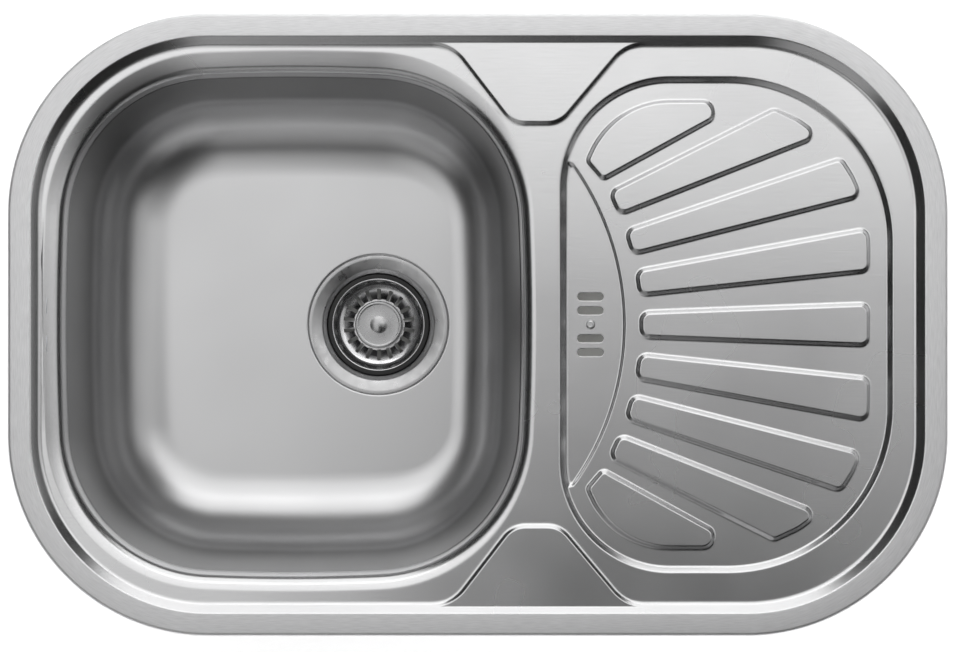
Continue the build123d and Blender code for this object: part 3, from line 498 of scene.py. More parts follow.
class Finish:
    """A material under construction: its Principled shader and the nodes that feed it."""

    def __init__(self, name, base, roughness, metallic=0.0):
        self.material = bpy.data.materials.new(name)
        self.material.use_nodes = True
        self.nodes, self.links = self.material.node_tree.nodes, self.material.node_tree.links
        self.shader = self.nodes["Principled BSDF"]
        self.shader.inputs["Base Color"].default_value = (*base, 1.0)
        self.shader.inputs["Roughness"].default_value = roughness
        self.shader.inputs["Metallic"].default_value = metallic

    def noise(self, source, scale=1.0, stretch=(1, 1, 1), detail=2.0):
        """A noise on object coordinates or on the grain map."""
        place = self.nodes.new("ShaderNodeTexCoord")
        mapping = self.nodes.new("ShaderNodeMapping")
        mapping.inputs["Scale"].default_value = stretch
        texture = self.nodes.new("ShaderNodeTexNoise")
        texture.inputs["Scale"].default_value = scale
        texture.inputs["Detail"].default_value = detail
        self.links.new(place.outputs[source], mapping.inputs["Vector"])
        self.links.new(mapping.outputs["Vector"], texture.inputs["Vector"])
        return texture.outputs["Fac"]

    def vary(self, socket, height, low, high):
        """Lets a noise move a plain socket between two values."""
        span = self.nodes.new("ShaderNodeMapRange")
        span.inputs["From Min"].default_value, span.inputs["From Max"].default_value = NOISE_LEVELS
        span.inputs["To Min"].default_value, span.inputs["To Max"].default_value = low, high
        self.links.new(height, span.inputs["Value"])
        self.links.new(span.outputs["Result"], self.shader.inputs[socket])

    def tint(self, height, low, high, levels=NOISE_LEVELS):
        """Lets a noise or a place move the colour between two values."""
        ramp = self.nodes.new("ShaderNodeValToRGB")
        for element, position, tone in zip(ramp.color_ramp.elements, levels, (low, high)):
            element.position, element.color = position, (*tone, 1.0)
        self.links.new(height, ramp.inputs["Fac"])
        self.links.new(ramp.outputs["Color"], self.shader.inputs["Base Color"])
        return ramp.color_ramp

    def bump(self, height, strength, distance, under=None):
        """Lets a noise raise the surface, over an earlier bump if one is given."""
        node = self.nodes.new("ShaderNodeBump")
        node.inputs["Strength"].default_value = strength
        node.inputs["Distance"].default_value = distance
        self.links.new(height, node.inputs["Height"])
        if under:
            self.links.new(under, node.inputs["Normal"])
        self.links.new(node.outputs["Normal"], self.shader.inputs["Normal"])
        return node.outputs["Normal"]


def shade(rgb, share):
    """A colour made darker or lighter."""
    return tuple(c * share for c in rgb)


def sheet_steel(name, base, roughness):
    """The start of a stainless sheet's finish, with cloudy gloss and soft waves, and the waves' bump."""
    steel = Finish(name, base, roughness, metallic=1.0)
    steel.vary("Roughness", steel.noise("Object", scale=9.0), roughness - 0.03, roughness + 0.03)
    waves = steel.bump(steel.noise("Object", scale=7.0, detail=1.0), strength=0.05, distance=0.002)
    return steel, waves


def shaded_bowl_steel(name, base, roughness):
    """The bowl's drawn sheet: satin, with painted shade that makes the walls' colour darker from the seam
    down, easing back to the plain colour at the floor's bend.
    """
    steel, _ = sheet_steel(name, base, roughness)
    place = steel.nodes.new("ShaderNodeTexCoord")
    split = steel.nodes.new("ShaderNodeSeparateXYZ")
    steel.links.new(place.outputs["UV"], split.inputs["Vector"])
    # Painted shade: the colour is darker along the wall's depth and eases back to plain towards the floor.
    fade = (BOWL_WALL_SHADE.depth, BOWL_WALL_SHADE.depth * BOWL_WALL_SHADE.fade)
    ramp = steel.tint(split.outputs["Y"], shade(base, BOWL_WALL_SHADE.tone), base, fade)
    ramp.interpolation = "EASE"
    return steel.material


def satin_steel(name, base, roughness):
    """The plate's rolled sheet, with a fine grain along the sink."""
    steel, waves = sheet_steel(name, base, roughness)
    steel.bump(steel.noise("Object", stretch=(60, 1700, 1700)), strength=0.03, distance=0.0002, under=waves)
    steel.tint(steel.noise("Object", stretch=(45, 900, 900)), shade(base, 0.98), shade(base, 1.015))
    return steel.material


def ground_steel(name, base, roughness):
    """The rim's ground finish: short strokes that follow the outline."""
    steel = Finish(name, base, roughness, metallic=1.0)
    strokes = steel.noise("UV", stretch=(55, 1500, 1))
    steel.vary("Roughness", strokes, roughness - 0.06, roughness + 0.06)
    steel.bump(strokes, strength=0.10, distance=0.0002)
    steel.tint(steel.noise("UV", stretch=(90, 1100, 1)), shade(base, 0.93), shade(base, 1.05))
    return steel.material


def bright_steel(name, base, roughness):
    """Pressed or turned metal with a fine satin."""
    steel = Finish(name, base, roughness, metallic=1.0)
    steel.vary("Roughness", steel.noise("Object", scale=140.0), roughness * 0.8, roughness * 1.3)
    steel.bump(steel.noise("Object", scale=2600.0), strength=0.04, distance=0.0001)
    return steel.material


def zinc_plate(name, base, roughness):
    """Zinc plating with cloudy spangles."""
    zinc = Finish(name, base, roughness, metallic=1.0)
    zinc.vary("Roughness", zinc.noise("Object", scale=260.0), roughness - 0.08, roughness + 0.12)
    zinc.tint(zinc.noise("Object", scale=120.0), shade(base, 0.85), shade(base, 1.1))
    zinc.bump(zinc.noise("Object", scale=1800.0), strength=0.05, distance=0.0001)
    return zinc.material


def moulded_plastic(name, base, roughness):
    """Moulded plastic with a fine skin."""
    plastic = Finish(name, base, roughness)
    plastic.vary("Roughness", plastic.noise("Object", scale=90.0), roughness - 0.06, roughness + 0.08)
    plastic.tint(plastic.noise("Object", scale=30.0), shade(base, 0.96), shade(base, 1.02))
    plastic.bump(plastic.noise("Object", scale=1500.0), strength=0.08, distance=0.0001)
    return plastic.material


def porous_black(name, base, roughness, pore_scale, strength):
    """Rubber, foam or bitumen with its own pore size."""
    soft = Finish(name, base, roughness)
    pores = soft.noise("Object", scale=pore_scale, detail=4.0)
    soft.vary("Roughness", pores, roughness - 0.08, min(1.0, roughness + 0.1))
    soft.tint(pores, shade(base, 0.8), shade(base, 1.3))
    soft.bump(pores, strength, distance=0.0004)
    return soft.material


def finish_for(slot):
    """The material of the rim or of one of the record's slots, made on first use."""
    name = slot + "_finish"
    made = bpy.data.materials.get(name)
    if made:
        return made
    look = bpy.context.scene.sink_finishes
    steel, bright = tuple(look.steel), tuple(look.bright_steel)
    maker, *values = {
        "plate_steel": (satin_steel, steel, look.plate_gloss),
        # The rim's colour is 1.25 times the plate steel's: painted light for how brightly the rim catches the
        # lamps; its ground strokes and gloss are its own.
        "rim_steel": (ground_steel, shade(steel, 1.25), look.rim_gloss),
        "bowl_steel": (shaded_bowl_steel, shade(steel, 0.95), look.bowl_gloss),
        "strainer_steel": (bright_steel, shade(bright, 0.72), 0.32),
        "basket_steel": (bright_steel, bright, 0.16),
        "knob_steel": (bright_steel, shade(bright, 0.62), 0.26),
        "plain_steel": (bright_steel, shade(steel, 0.95), 0.30),
        "brass": (bright_steel, tuple(look.brass), 0.28),
        "zinc_steel": (zinc_plate, tuple(look.zinc), 0.38),
        "black_rubber": (porous_black, tuple(look.rubber), 0.55, 700.0, 0.08),
        "grey_foam": (porous_black, tuple(look.foam), 0.85, 900.0, 0.35),
        "damping_pad": (porous_black, tuple(look.pad), 0.75, 160.0, 0.5),
        "white_plastic": (moulded_plastic, tuple(look.white_plastic), 0.42),
        "grey_plastic": (moulded_plastic, tuple(look.grey_plastic), 0.48),
    }[slot]
    return maker(name, *values)


def deck_inset(plate):
    """Outline to the line at pad height on the slope from rim to deck."""
    return plate.rim_width + (plate.rim - plate.pad_top) / math.tan(plate.rim_slope)


def rim_outline(plate, left, right):
    """The sink's outline as a rounded rectangle, with more stations between the pads' roots."""
    x, y, r = plate.length / 2, plate.width / 2, plate.outline_radius
    outline = rounded_outline([(x, -y, r), (x, y, r), (-x, y, r), (-x, -y, r)], OUTLINE_DEGREES)
    near = [PAD.spacing * k for k in range(PAD.stations)]
    along = [left + s for s in near] + [right - s for s in reversed(near)]
    back = [(Vector((px, y)), Vector((0, 1))) for px in reversed(along)]
    front = [(Vector((px, -y)), Vector((0, -1))) for px in along]
    half = len(outline) // 2
    return outline[:half] + back + outline[half:] + front


def deck_outline(plate):
    """The deck's edge with a pad running in from the back and the front."""
    x, y = plate.length / 2 - deck_inset(plate), plate.width / 2 - deck_inset(plate)
    nose_y, r = y - plate.pad_reach, plate.outline_radius - deck_inset(plate)
    left, right = plate.pad_x - plate.pad_nose / 2, plate.pad_x + plate.pad_nose / 2
    back = [
        (right + plate.pad_right, y, plate.pad_root),
        (right, nose_y, PAD.nose_bend),
        (left, nose_y, PAD.nose_bend),
        (left - plate.pad_left, y, plate.pad_root),
    ]
    front = [(px, -py, pr) for px, py, pr in reversed(back)]
    return rounded_outline([(x, -y, r), (x, y, r), *back, (-x, y, r), (-x, -y, r), *front], OUTLINE_DEGREES)


def rim_and_deck(bm, plate):
    """The rim and its slope, which runs on down to the deck or ends at a pad's flat top."""
    deck = deck_outline(plate)
    foot, edge_y = -deck_inset(plate), plate.width / 2 - deck_inset(plate)
    roots = [p.x for p, _ in deck if abs(p.y - edge_y) < SAME and abs(p.x) < plate.length / 4]
    left, right = min(roots), max(roots)
    rim = rim_outline(plate, left, right)

    def share(gap):
        return min(1.0, max(0.0, gap / PAD.room))

    rim_shares = []
    for p, n in rim:
        beside = min(p.x - left, right - p.x) if abs(n.x) < SAME else 0.0
        rim_shares.append(share(max(0.0, beside) ** 2 / (2 * plate.pad_root)))
    round_rows = bent_profile(
        [
            (0, plate.lip),
            (0, plate.rim, plate.rim_edge),
            (-plate.rim_width, plate.rim, RIM.bend),
            (foot, plate.pad_top, PAD.seam_bend),
            (foot - PAD.flat, plate.pad_top),
        ]
    )
    bend = next(k for k, row in enumerate(round_rows) if row.x < foot + PAD.seam_reach)
    plain_rows = straightened(round_rows, bend, Vector((foot, plate.pad_top)))
    crown = next(k for k, row in enumerate(round_rows) if row.x < RIM.ground_end - plate.rim_width)
    sweep_between(bm, rim, rim_shares, round_rows[: crown + 1], plain_rows[: crown + 1], finish=1)
    sweep_between(bm, rim, rim_shares, round_rows[crown:], plain_rows[crown:])
    deck_shares = [share(edge_y - abs(p.y)) if left < p.x < right else 0.0 for p, _ in deck]
    fall = (plate.pad_top - plate.deck) / math.tan(plate.rim_slope)
    end = (-fall - RIM.deck_flat, plate.deck)
    pad_edge = [(PAD.flat, plate.pad_top), (0, plate.pad_top, PAD.edge_bend)]
    pad_rows = bent_profile([*pad_edge, (-fall, plate.deck, PAD.foot_bend), end])
    slope_rows = bent_profile([(0, plate.pad_top), (-fall, plate.deck, RIM.foot_bend), end])
    slope_rows = padded(slope_rows, len(pad_rows) - len(slope_rows))
    sweep_between(bm, deck, deck_shares, pad_rows, slope_rows)


def bowl_outline(bowl):
    """The bowl's plan at the seam: four bulged sides and round corners."""
    side_x, front_y = bowl.length / 2 - bowl.side_bulge, bowl.width / 2 - bowl.front_bulge
    reach_a, reach_b = bowl.side_bulge - bowl.corner, bowl.front_bulge - bowl.corner
    centre_a, centre_b = Vector((side_x, 0)), Vector((0, front_y))
    between = centre_b - centre_a
    gap = between.length
    share = (gap**2 + reach_a**2 - reach_b**2) / (2 * gap)
    lift = math.sqrt(reach_a**2 - share**2)
    ahead = between / gap
    options = [centre_a + ahead * share + Vector((-ahead.y, ahead.x)) * lift * s for s in (1, -1)]
    corner = max(options, key=lambda c: c.x + c.y)
    low = math.atan2(corner.y, corner.x - side_x)
    high = math.atan2(corner.y - front_y, corner.x)
    arcs = (
        (0.0, low, centre_a, bowl.side_bulge, BOWL.side_stations),
        (low, high, corner, bowl.corner, BOWL.corner_stations),
        (high, math.pi / 2, centre_b, bowl.front_bulge, BOWL.side_stations),
    )
    first = []
    for start, end, centre, radius, count in arcs:
        for k in range(count):
            turn = start + (end - start) * k / count
            away = Vector((math.cos(turn), math.sin(turn)))
            first.append((centre + away * radius, away))
    first.append((centre_b + Vector((0, bowl.front_bulge)), Vector((0, 1))))

    def flip(points, sx, sy):
        return [(Vector((p.x * sx, p.y * sy)), Vector((n.x * sx, n.y * sy))) for p, n in points]

    whole = first + flip(first[-2::-1], -1, 1) + flip(first[1:], -1, -1) + flip(first[-2:0:-1], 1, -1)
    return [(p + Vector((bowl.x, 0)), n) for p, n in whole]


def collar(bm, plate, bowl):
    """The rolled mouth over the bowl; the deck falls to it behind the bowl, less on the left and in front."""
    mouth = (plate.deck - bowl.seam) * math.tan(bowl.draft)
    reach = mouth + bowl.roll
    weld = [(COLLAR.turn, bowl.seam + COLLAR.turn_rise, COLLAR.turn_bend), (COLLAR.weld, bowl.seam)]
    level_rows = bent_profile([(reach + COLLAR.flat, plate.deck), (mouth, plate.deck, bowl.roll), *weld])
    falling_rows = bent_profile(
        [
            (reach + COLLAR.fall_flat, plate.deck),
            (reach + COLLAR.fall_start, plate.deck, COLLAR.fall_bend),
            (mouth, plate.deck - COLLAR.fall, bowl.roll),
            *weld,
        ]
    )
    level_rows = padded(level_rows, len(falling_rows) - len(level_rows))
    outline = bowl_outline(bowl)
    shares = []
    for _, n in outline:
        across = n.y**2 if n.y > 0 else n.y**2 * COLLAR.front_share
        shares.append(across + COLLAR.left_share * min(0.0, n.x) ** 2)
    sweep_between(bm, outline, shares, falling_rows, level_rows)


def step_rows(plate, tray):
    """The crescent's step as (radius from the fan centre, height) rows."""
    foot, edge = tray.crescent_radius, tray.crescent_radius + plate.tray - plate.crescent
    return bent_profile(
        [
            (foot - CRESCENT.foot_flat, plate.crescent),
            (foot, plate.crescent, CRESCENT.foot_bend),
            (edge, plate.tray, CRESCENT.edge_bend),
            (edge + CRESCENT.edge_flat, plate.tray),
        ]
    )


def tray_height(plate, tray, rows, spot):
    """The tray floor's height at a place in plan, ribs apart."""
    r = (spot - Vector((tray.fan_x, 0))).length
    for (r0, z0), (r1, z1) in zip(rows, rows[1:]):
        if r0 <= r <= r1:
            return z0 + (z1 - z0) * (r - r0) / (r1 - r0)
    return plate.crescent if r < rows[0][0] else plate.tray


def tray_walls(bm, plate, tray):
    """The tray's sloping walls and the crescent's step, which meets them in the corners beside the bowl."""
    corner = Vector((tray.left + tray.left_radius, tray.width / 2 - tray.left_radius))
    fan = Vector((tray.fan_x, 0))
    away, inner = corner - fan, tray.left_radius - TRAY_WALL.reach
    step = step_rows(plate, tray)
    cuts = []
    for r, _ in step:
        bend = math.acos((r**2 - away.length_squared - inner**2) / (2 * inner * away.length))
        cuts.append(math.atan2(away.y, away.x) + bend)
    y, lr, rr = tray.width / 2, tray.left_radius, tray.right_radius
    outline = rounded_outline(
        [(tray.right, -y, rr), (tray.right, y, rr), (tray.left, y, lr), (tray.left, -y, lr)],
        degrees=3,
        cuts={2: cuts, 3: [-c for c in cuts]},
    )
    drop = plate.deck - plate.tray
    rows = bent_profile(
        [
            (-TRAY_WALL.edge_flat, plate.deck),
            (0, plate.deck, TRAY_WALL.edge_bend),
            (drop, plate.tray, TRAY_WALL.foot_bend),
            (drop + TRAY_WALL.foot_flat, plate.tray),
        ]
    ) + [Vector((TRAY_WALL.reach, plate.tray))]

    def wall_spot(i, row):
        point, normal = outline[i]
        floor = tray_height(plate, tray, step, point - normal * TRAY_WALL.reach)
        deeper = (plate.deck - floor) / drop
        inset = row[0] * deeper if 0 < row[0] < TRAY_WALL.reach - SAME else row[0]
        return (point - normal * inset).to_3d() + Vector((0, 0, plate.deck + (row[1] - plate.deck) * deeper))

    sweep(bm, len(outline), rows, wall_spot)
    ends = [math.atan2(*reversed(corner + turned(Vector((inner, 0)), c) - fan)) for c in cuts]

    def step_spot(i, row):
        end = ends[min(range(len(step)), key=lambda j: abs(step[j][0] - row[0]))]
        turn = end * (1 - 2 * i / CRESCENT.stations)
        return (fan + turned(Vector((row[0], 0)), turn)).to_3d() + Vector((0, 0, row[1]))

    sweep(bm, CRESCENT.stations + 1, step, step_spot, closed=False)


def field_reach(tray, start, direction):
    """Where a line from start leaves the ribs' field."""
    m = tray.rib_margin
    x, y = tray.right - m, tray.width / 2 - m
    radius = tray.right_radius - m
    low, high = 0.0, 1.0
    for _ in range(HALVINGS):
        mid = (low + high) / 2
        p = start + direction * mid
        dx, dy = p.x - (x - radius), abs(p.y) - (y - radius)
        inside = p.x < x and abs(p.y) < y and (dx < 0 or dy < 0 or math.hypot(dx, dy) < radius)
        low, high = (mid, high) if inside else (low, mid)
    return start + direction * low


def fan_ribs(tray):
    """The feet of the ribs that spread from the fan centre."""
    fan, half, ahead = Vector((tray.fan_x, 0)), tray.rib_width / 2, Vector((1, 0))
    outlines = []
    for k in range(-RIB.beside, RIB.beside + 1):
        turn = tray.rib_pitch * k
        low, high = (fan + turned(Vector((tray.rib_start, s * half)), turn) for s in (-1, 1))
        leans = [tray.rib_flare / 2 * (RIB.outer_lean if k * s == -RIB.beside else 1.0) for s in (-1, 1)]
        low_end = field_reach(tray, low, turned(ahead, turn - leans[0]))
        high_end = field_reach(tray, high, turned(ahead, turn + leans[1]))
        middle = field_reach(tray, (low + high) / 2, turned(ahead, turn))
        corners = [
            (*low, RIB.start_bend),
            (*low_end, RIB.end_bend),
            (*middle, RIB.nose_bend),
            (*high_end, RIB.end_bend),
            (*high, RIB.start_bend),
        ]
        outlines.append(rounded_outline(corners, degrees=9))
    return outlines


def corner_ribs(tray):
    """The feet of the two ribs that fill the tray's corners beside the bowl."""
    y, tilt = tray.width / 2, CORNER_RIB.tilt
    top, reach = y - tray.rib_margin, tray.left_radius - tray.rib_margin
    corner = Vector((tray.left + tray.left_radius, y - tray.left_radius))
    start = Vector((tray.left + CORNER_RIB.start_x, y - CORNER_RIB.start_y))
    end_x = tray.left + CORNER_RIB.end_x
    foot_end = start + Vector((1, math.tan(tilt))) * (end_x - start.x)
    foot_start = start - Vector((math.cos(tilt), math.sin(tilt))) * CORNER_RIB.toe
    touch = corner + turned(Vector((reach, 0)), CORNER_RIB.leave)
    meet = Vector((corner.x - reach * math.tan((CORNER_RIB.leave - math.pi / 2) / 2), top))
    heel = touch + (touch - meet).normalized() * CORNER_RIB.heel
    back = [
        (*foot_start, CORNER_RIB.tip_bend),
        (*foot_end, CORNER_RIB.end_bend),
        (end_x, top, CORNER_RIB.back_bend),
        (*meet, reach),
        (*heel, CORNER_RIB.tip_bend),
    ]
    front = [(px, -py, r) for px, py, r in reversed(back)]
    return [rounded_outline(corners, degrees=6) for corners in (back, front)]


def ribs(bm, plate, tray):
    """The raised ribs' flanks."""
    rise = plate.rib - plate.tray
    flank = bent_profile(
        [
            (RIB.foot_flat, plate.tray),
            (0, plate.tray, RIB.foot_bend),
            (-rise, plate.rib, RIB.top_bend),
            (-rise - RIB.top_flat, plate.rib),
        ]
    )
    for foot in fan_ribs(tray) + corner_ribs(tray):
        sweep_outline(bm, foot, flank)


def overflow_slots(bm, plate, tray):
    """The overflow's round-ended slots with their turned-down edges."""
    edge = [(SLOT.flat, plate.crescent), (0, plate.crescent, SLOT.bend), (0, plate.crescent - SLOT.depth)]
    low_x, high_x = tray.overflow_x - tray.slot_length / 2, tray.overflow_x + tray.slot_length / 2
    half = tray.slot_width / 2
    r = half * SLOT.end_share
    for place in SLOT.places:
        y = place * tray.slot_pitch
        corners = [(high_x, y - half, r), (high_x, y + half, r), (low_x, y + half, r), (low_x, y - half, r)]
        sweep_outline(bm, rounded_outline(corners, degrees=15), bent_profile(edge, degrees=20))


def round_outline(x, radius, count=ROUND_STATIONS):
    """A circle in plan, centred on the sink's middle line."""
    around = [turned(Vector((1, 0)), math.tau * k / count) for k in range(count)]
    return [(Vector((x, 0)) + n * radius, n) for n in around]


def window_outline(x, middle):
    """One window of the strainer's foot, about an axis at x."""
    narrow, wide = WINDOW.spread * WINDOW.taper, WINDOW.spread
    spots = [(WINDOW.outer, wide * s) for s in (-1, -1 / 3, 1 / 3, 1)]
    corners = []
    for radius, turn in [(WINDOW.inner, -narrow), *spots, (WINDOW.inner, narrow)]:
        corners.append((*(Vector((x, 0)) + turned(Vector((radius, 0)), middle + turn)), WINDOW.bend))
    return rounded_outline(corners, degrees=15)


class SINK_OT_plate(bpy.types.Operator):
    """Press the drainer plate: rim, slope, deck, pads, tray, crescent, ribs and the bowl's collar"""

    bl_idname = "sink.plate"
    bl_label = "Drainer plate"

    def execute(self, context):
        plate, tray, bowl = context.scene.sink_plate, context.scene.sink_tray, context.scene.sink_bowl
        bm = new_shell()
        rim_and_deck(bm, plate)
        collar(bm, plate, bowl)
        tray_walls(bm, plate, tray)
        ribs(bm, plate, tray)
        overflow_slots(bm, plate, tray)
        bmesh.ops.remove_doubles(bm, verts=bm.verts, dist=SAME)
        for height in (plate.pad_top, plate.deck, plate.tray, plate.crescent, plate.rib):
            fill_level(bm, height)
        tidy(bm, upward=True)
        finishes = ["plate_steel", "rim_steel"]
        place_piece(bm, "drainer_plate_sheet", SINK, "drainer_plate", finishes, plate.sheet)
        return {"FINISHED"}


class SINK_OT_bowl(bpy.types.Operator):
    """Draw the bowl from its weld seam down to the drain recess"""

    bl_idname = "sink.bowl"
    bl_label = "Bowl"

    def execute(self, context):
        bowl, drain, plate = context.scene.sink_bowl, context.scene.sink_drain, context.scene.sink_plate
        bm = new_shell()
        outline = bowl_outline(bowl)
        shares = [1.0 - max(0.0, n.x) ** 2 for _, n in outline]
        wide, tight = self.wall(bowl, bowl.floor_bend), self.wall(bowl, bowl.floor_radius)
        sweep_between(bm, outline, shares, wide, tight)
        recess = [
            (RECESS.flat, bowl.floor),
            (0, bowl.floor, RECESS.edge_bend),
            (drain.recess_floor - bowl.floor, drain.recess_floor, RECESS.foot_bend),
            (drain.hole - drain.recess, drain.recess_floor),
        ]
        sweep_outline(bm, round_outline(drain.x, drain.recess), bent_profile(recess))
        fill_level(bm, bowl.floor)
        # The floor's faces get a grain height past the painted wall shade, so the floor keeps its plain
        # colour.
        grain = bm.loops.layers.uv["grain"]
        for face in bm.faces:
            if face.calc_center_median().z < bowl.floor + SAME:
                for loop in face.loops:
                    loop[grain].uv = (loop.vert.co.x, BOWL_WALL_SHADE.floor)
        tidy(bm, upward=True)
        place_piece(bm, "bowl_shell", SINK, "bowl", ["bowl_steel"], plate.sheet)
        return {"FINISHED"}

    def wall(self, bowl, bend):
        """The wall's rows from the seam, round the bend at its foot, to a level run on the floor."""
        foot = (bowl.floor - bowl.seam) * math.tan(bowl.draft)
        return bent_profile(
            [
                (COLLAR.weld, bowl.seam),
                (-BOWL.shoulder, bowl.seam - BOWL.shoulder_drop, BOWL.shoulder_bend),
                (foot, bowl.floor, bend),
                (foot - bend * BOWL.floor_run, bowl.floor),
            ],
            degrees=4,
        )


class SINK_OT_strainer(bpy.types.Operator):
    """Turn the strainer cup with its dished flange, seat and windowed foot"""

    bl_idname = "sink.strainer"
    bl_label = "Strainer cup"

    def execute(self, context):
        drain = context.scene.sink_drain
        bm = new_shell()
        neck_z = drain.flange_top - STRAINER.dish_drop
        rows = bent_profile(
            [
                (drain.flange, drain.flange_top - STRAINER.edge),
                (drain.flange, drain.flange_top, STRAINER.edge_bend),
                (drain.cup + STRAINER.dish, drain.flange_top, STRAINER.dish_bend),
                (drain.cup + STRAINER.neck, neck_z, STRAINER.dish_bend),
                (drain.cup, neck_z - STRAINER.neck, STRAINER.neck_bend),
                (drain.cup, drain.seat, STRAINER.corner_bend),
                (drain.cup - STRAINER.seat, drain.seat, STRAINER.seat_bend),
                (drain.cup - STRAINER.foot, drain.foot, STRAINER.foot_bend),
                (drain.cup - STRAINER.foot_flat, drain.foot),
            ],
            degrees=12,
        )
        sweep_outline(bm, round_outline(drain.x, 0.0), rows)
        holes = [window_outline(drain.x, math.tau * (k + 0.5) / WINDOW.count) for k in range(WINDOW.count)]
        holes.append(round_outline(drain.x, STRAINER.screw_hole, STRAINER.hole_stations))
        edge = [(STRAINER.hole_flat, drain.foot), (0, drain.foot), (0, drain.foot - STRAINER.hole_depth)]
        for hole in holes:
            sweep_outline(bm, hole, edge)
        bmesh.ops.remove_doubles(bm, verts=bm.verts, dist=SAME)
        fill_level(bm, drain.foot)
        tidy(bm, upward=True)
        place_piece(bm, "strainer_cup", SINK, "strainer_flange", ["strainer_steel"], STRAINER.sheet)
        return {"FINISHED"}


class SINK_OT_basket(bpy.types.Operator):
    """Make the lift-out basket with its slots, rubber ring, pull knob and guide pin"""

    bl_idname = "sink.basket"
    bl_label = "Basket"

    def execute(self, context):
        drain = context.scene.sink_drain
        self.cup(drain)
        self.ring(drain)
        self.knob(drain)
        dressed_copy("basket_pin", BASKET, "knob_steel")
        return {"FINISHED"}

    def cup(self, drain):
        """The slotted cup, one sector at a time round its axis."""
        floor, slope = drain.basket_floor, CUP.cone_rise / (CUP.knee - CUP.cone_foot)
        rows = bent_profile(
            [
                (drain.lip, drain.lip_top - CUP.lip_edge),
                (drain.lip, drain.lip_top, CUP.lip_bend),
                (drain.lip - CUP.lip_width, drain.lip_top, CUP.lip_inner_bend),
                (drain.lip - CUP.wall_inset, drain.lip_top - CUP.wall_drop, CUP.wall_bend),
                (CUP.knee, floor + CUP.cone_rise, CUP.knee_bend),
                (CUP.slot_end, floor + slope * (CUP.slot_end - CUP.cone_foot)),
                (CUP.cone_foot, floor, CUP.cone_bend),
                (CUP.slot_start, floor),
                (CUP.floor_ring, floor),
                (KNOB.stem, floor),
            ],
            degrees=14,
        )
        pitch, centre = math.tau / CUP.slots, Vector((drain.x, 0, 0))
        bm = new_shell()

        def spot(i, row):
            edge = min(math.asin(CUP.slot_half / row[0]), pitch * CUP.slot_room)
            beside = (pitch / 2 + edge) / 2
            turns = [-pitch / 2, -beside, -edge, 0.0, edge, beside, pitch / 2]
            return centre + Vector((row[0], 0, row[1])) @ Matrix.Rotation(-turns[i], 3, "Z")

        sweep(bm, CUP.sector_stations, rows, spot, closed=False)
        along = bm.verts.layers.int["along"]
        slotted = [row for row in rows if CUP.slot_start - SAME <= row.x <= CUP.slot_end + SAME]
        high, low = slotted[0], slotted[-1]
        holes = []
        for face in bm.faces:
            places = {v[along] for v in face.verts}
            middle = face.calc_center_median() - centre
            if places <= CUP.slot_stations and middle.z < high.y and math.hypot(middle.x, middle.y) > low.x:
                holes.append(face)
        bmesh.ops.delete(bm, geom=holes, context="FACES")
        bmesh.ops.rotate(bm, cent=centre, matrix=Matrix.Rotation(pitch / 2, 3, "Z"), verts=bm.verts)
        sector = bm.verts[:] + bm.edges[:] + bm.faces[:]
        bmesh.ops.spin(
            bm, geom=sector, cent=centre, axis=(0, 0, 1), angle=math.tau - pitch, steps=CUP.slots - 1,
            use_duplicate=True,
        )
        tidy(bm, upward=True)
        place_piece(bm, "basket_cup", BASKET, "basket", ["basket_steel"], CUP.sheet)

    def ring(self, drain):
        """The rubber ring that lies on the strainer's seat."""
        low, high = drain.seat, drain.seat + SEAL.height
        inside = (SEAL.inner, (low + high) / 2)
        rows = bent_profile(
            [
                inside,
                (SEAL.inner, low, SEAL.low_bend),
                (SEAL.outer, low, SEAL.low_bend),
                (SEAL.outer, high, SEAL.outer_bend),
                (SEAL.inner, high, SEAL.inner_bend),
                inside,
            ],
            degrees=15,
        )
        spun_piece(rows, drain.x, "basket_ring", BASKET, "basket_seal", "black_rubber")

    def knob(self, drain):
        """The pull knob: domed button, dished top, rolled edge and flared stem."""
        top, r = drain.knob_top, drain.knob
        rows = bent_profile(
            [
                (0.0, top + KNOB.button_rise),
                (KNOB.dome, top + KNOB.dome_rise, KNOB.dome_bend),
                (KNOB.button, top - KNOB.dish_drop, KNOB.lip_bend),
                (r - KNOB.lip, top - KNOB.dish_drop, KNOB.lip_bend),
                (r - KNOB.lip_crest, top + KNOB.lip_rise, KNOB.lip_bend),
                (r, top + KNOB.lip_rise, KNOB.edge_bend),
                (r, top - KNOB.under, KNOB.edge_bend),
                (KNOB.flare, top - KNOB.under, KNOB.flare_bend),
                (KNOB.stem, top - KNOB.stem_top, KNOB.stem_bend),
                (KNOB.stem, drain.basket_floor),
                (0.0, drain.basket_floor),
            ],
            degrees=10,
        )
        spun_piece(rows, drain.x, "pull_knob", BASKET, "basket_knob", "knob_steel", crease=KNOB.crease)


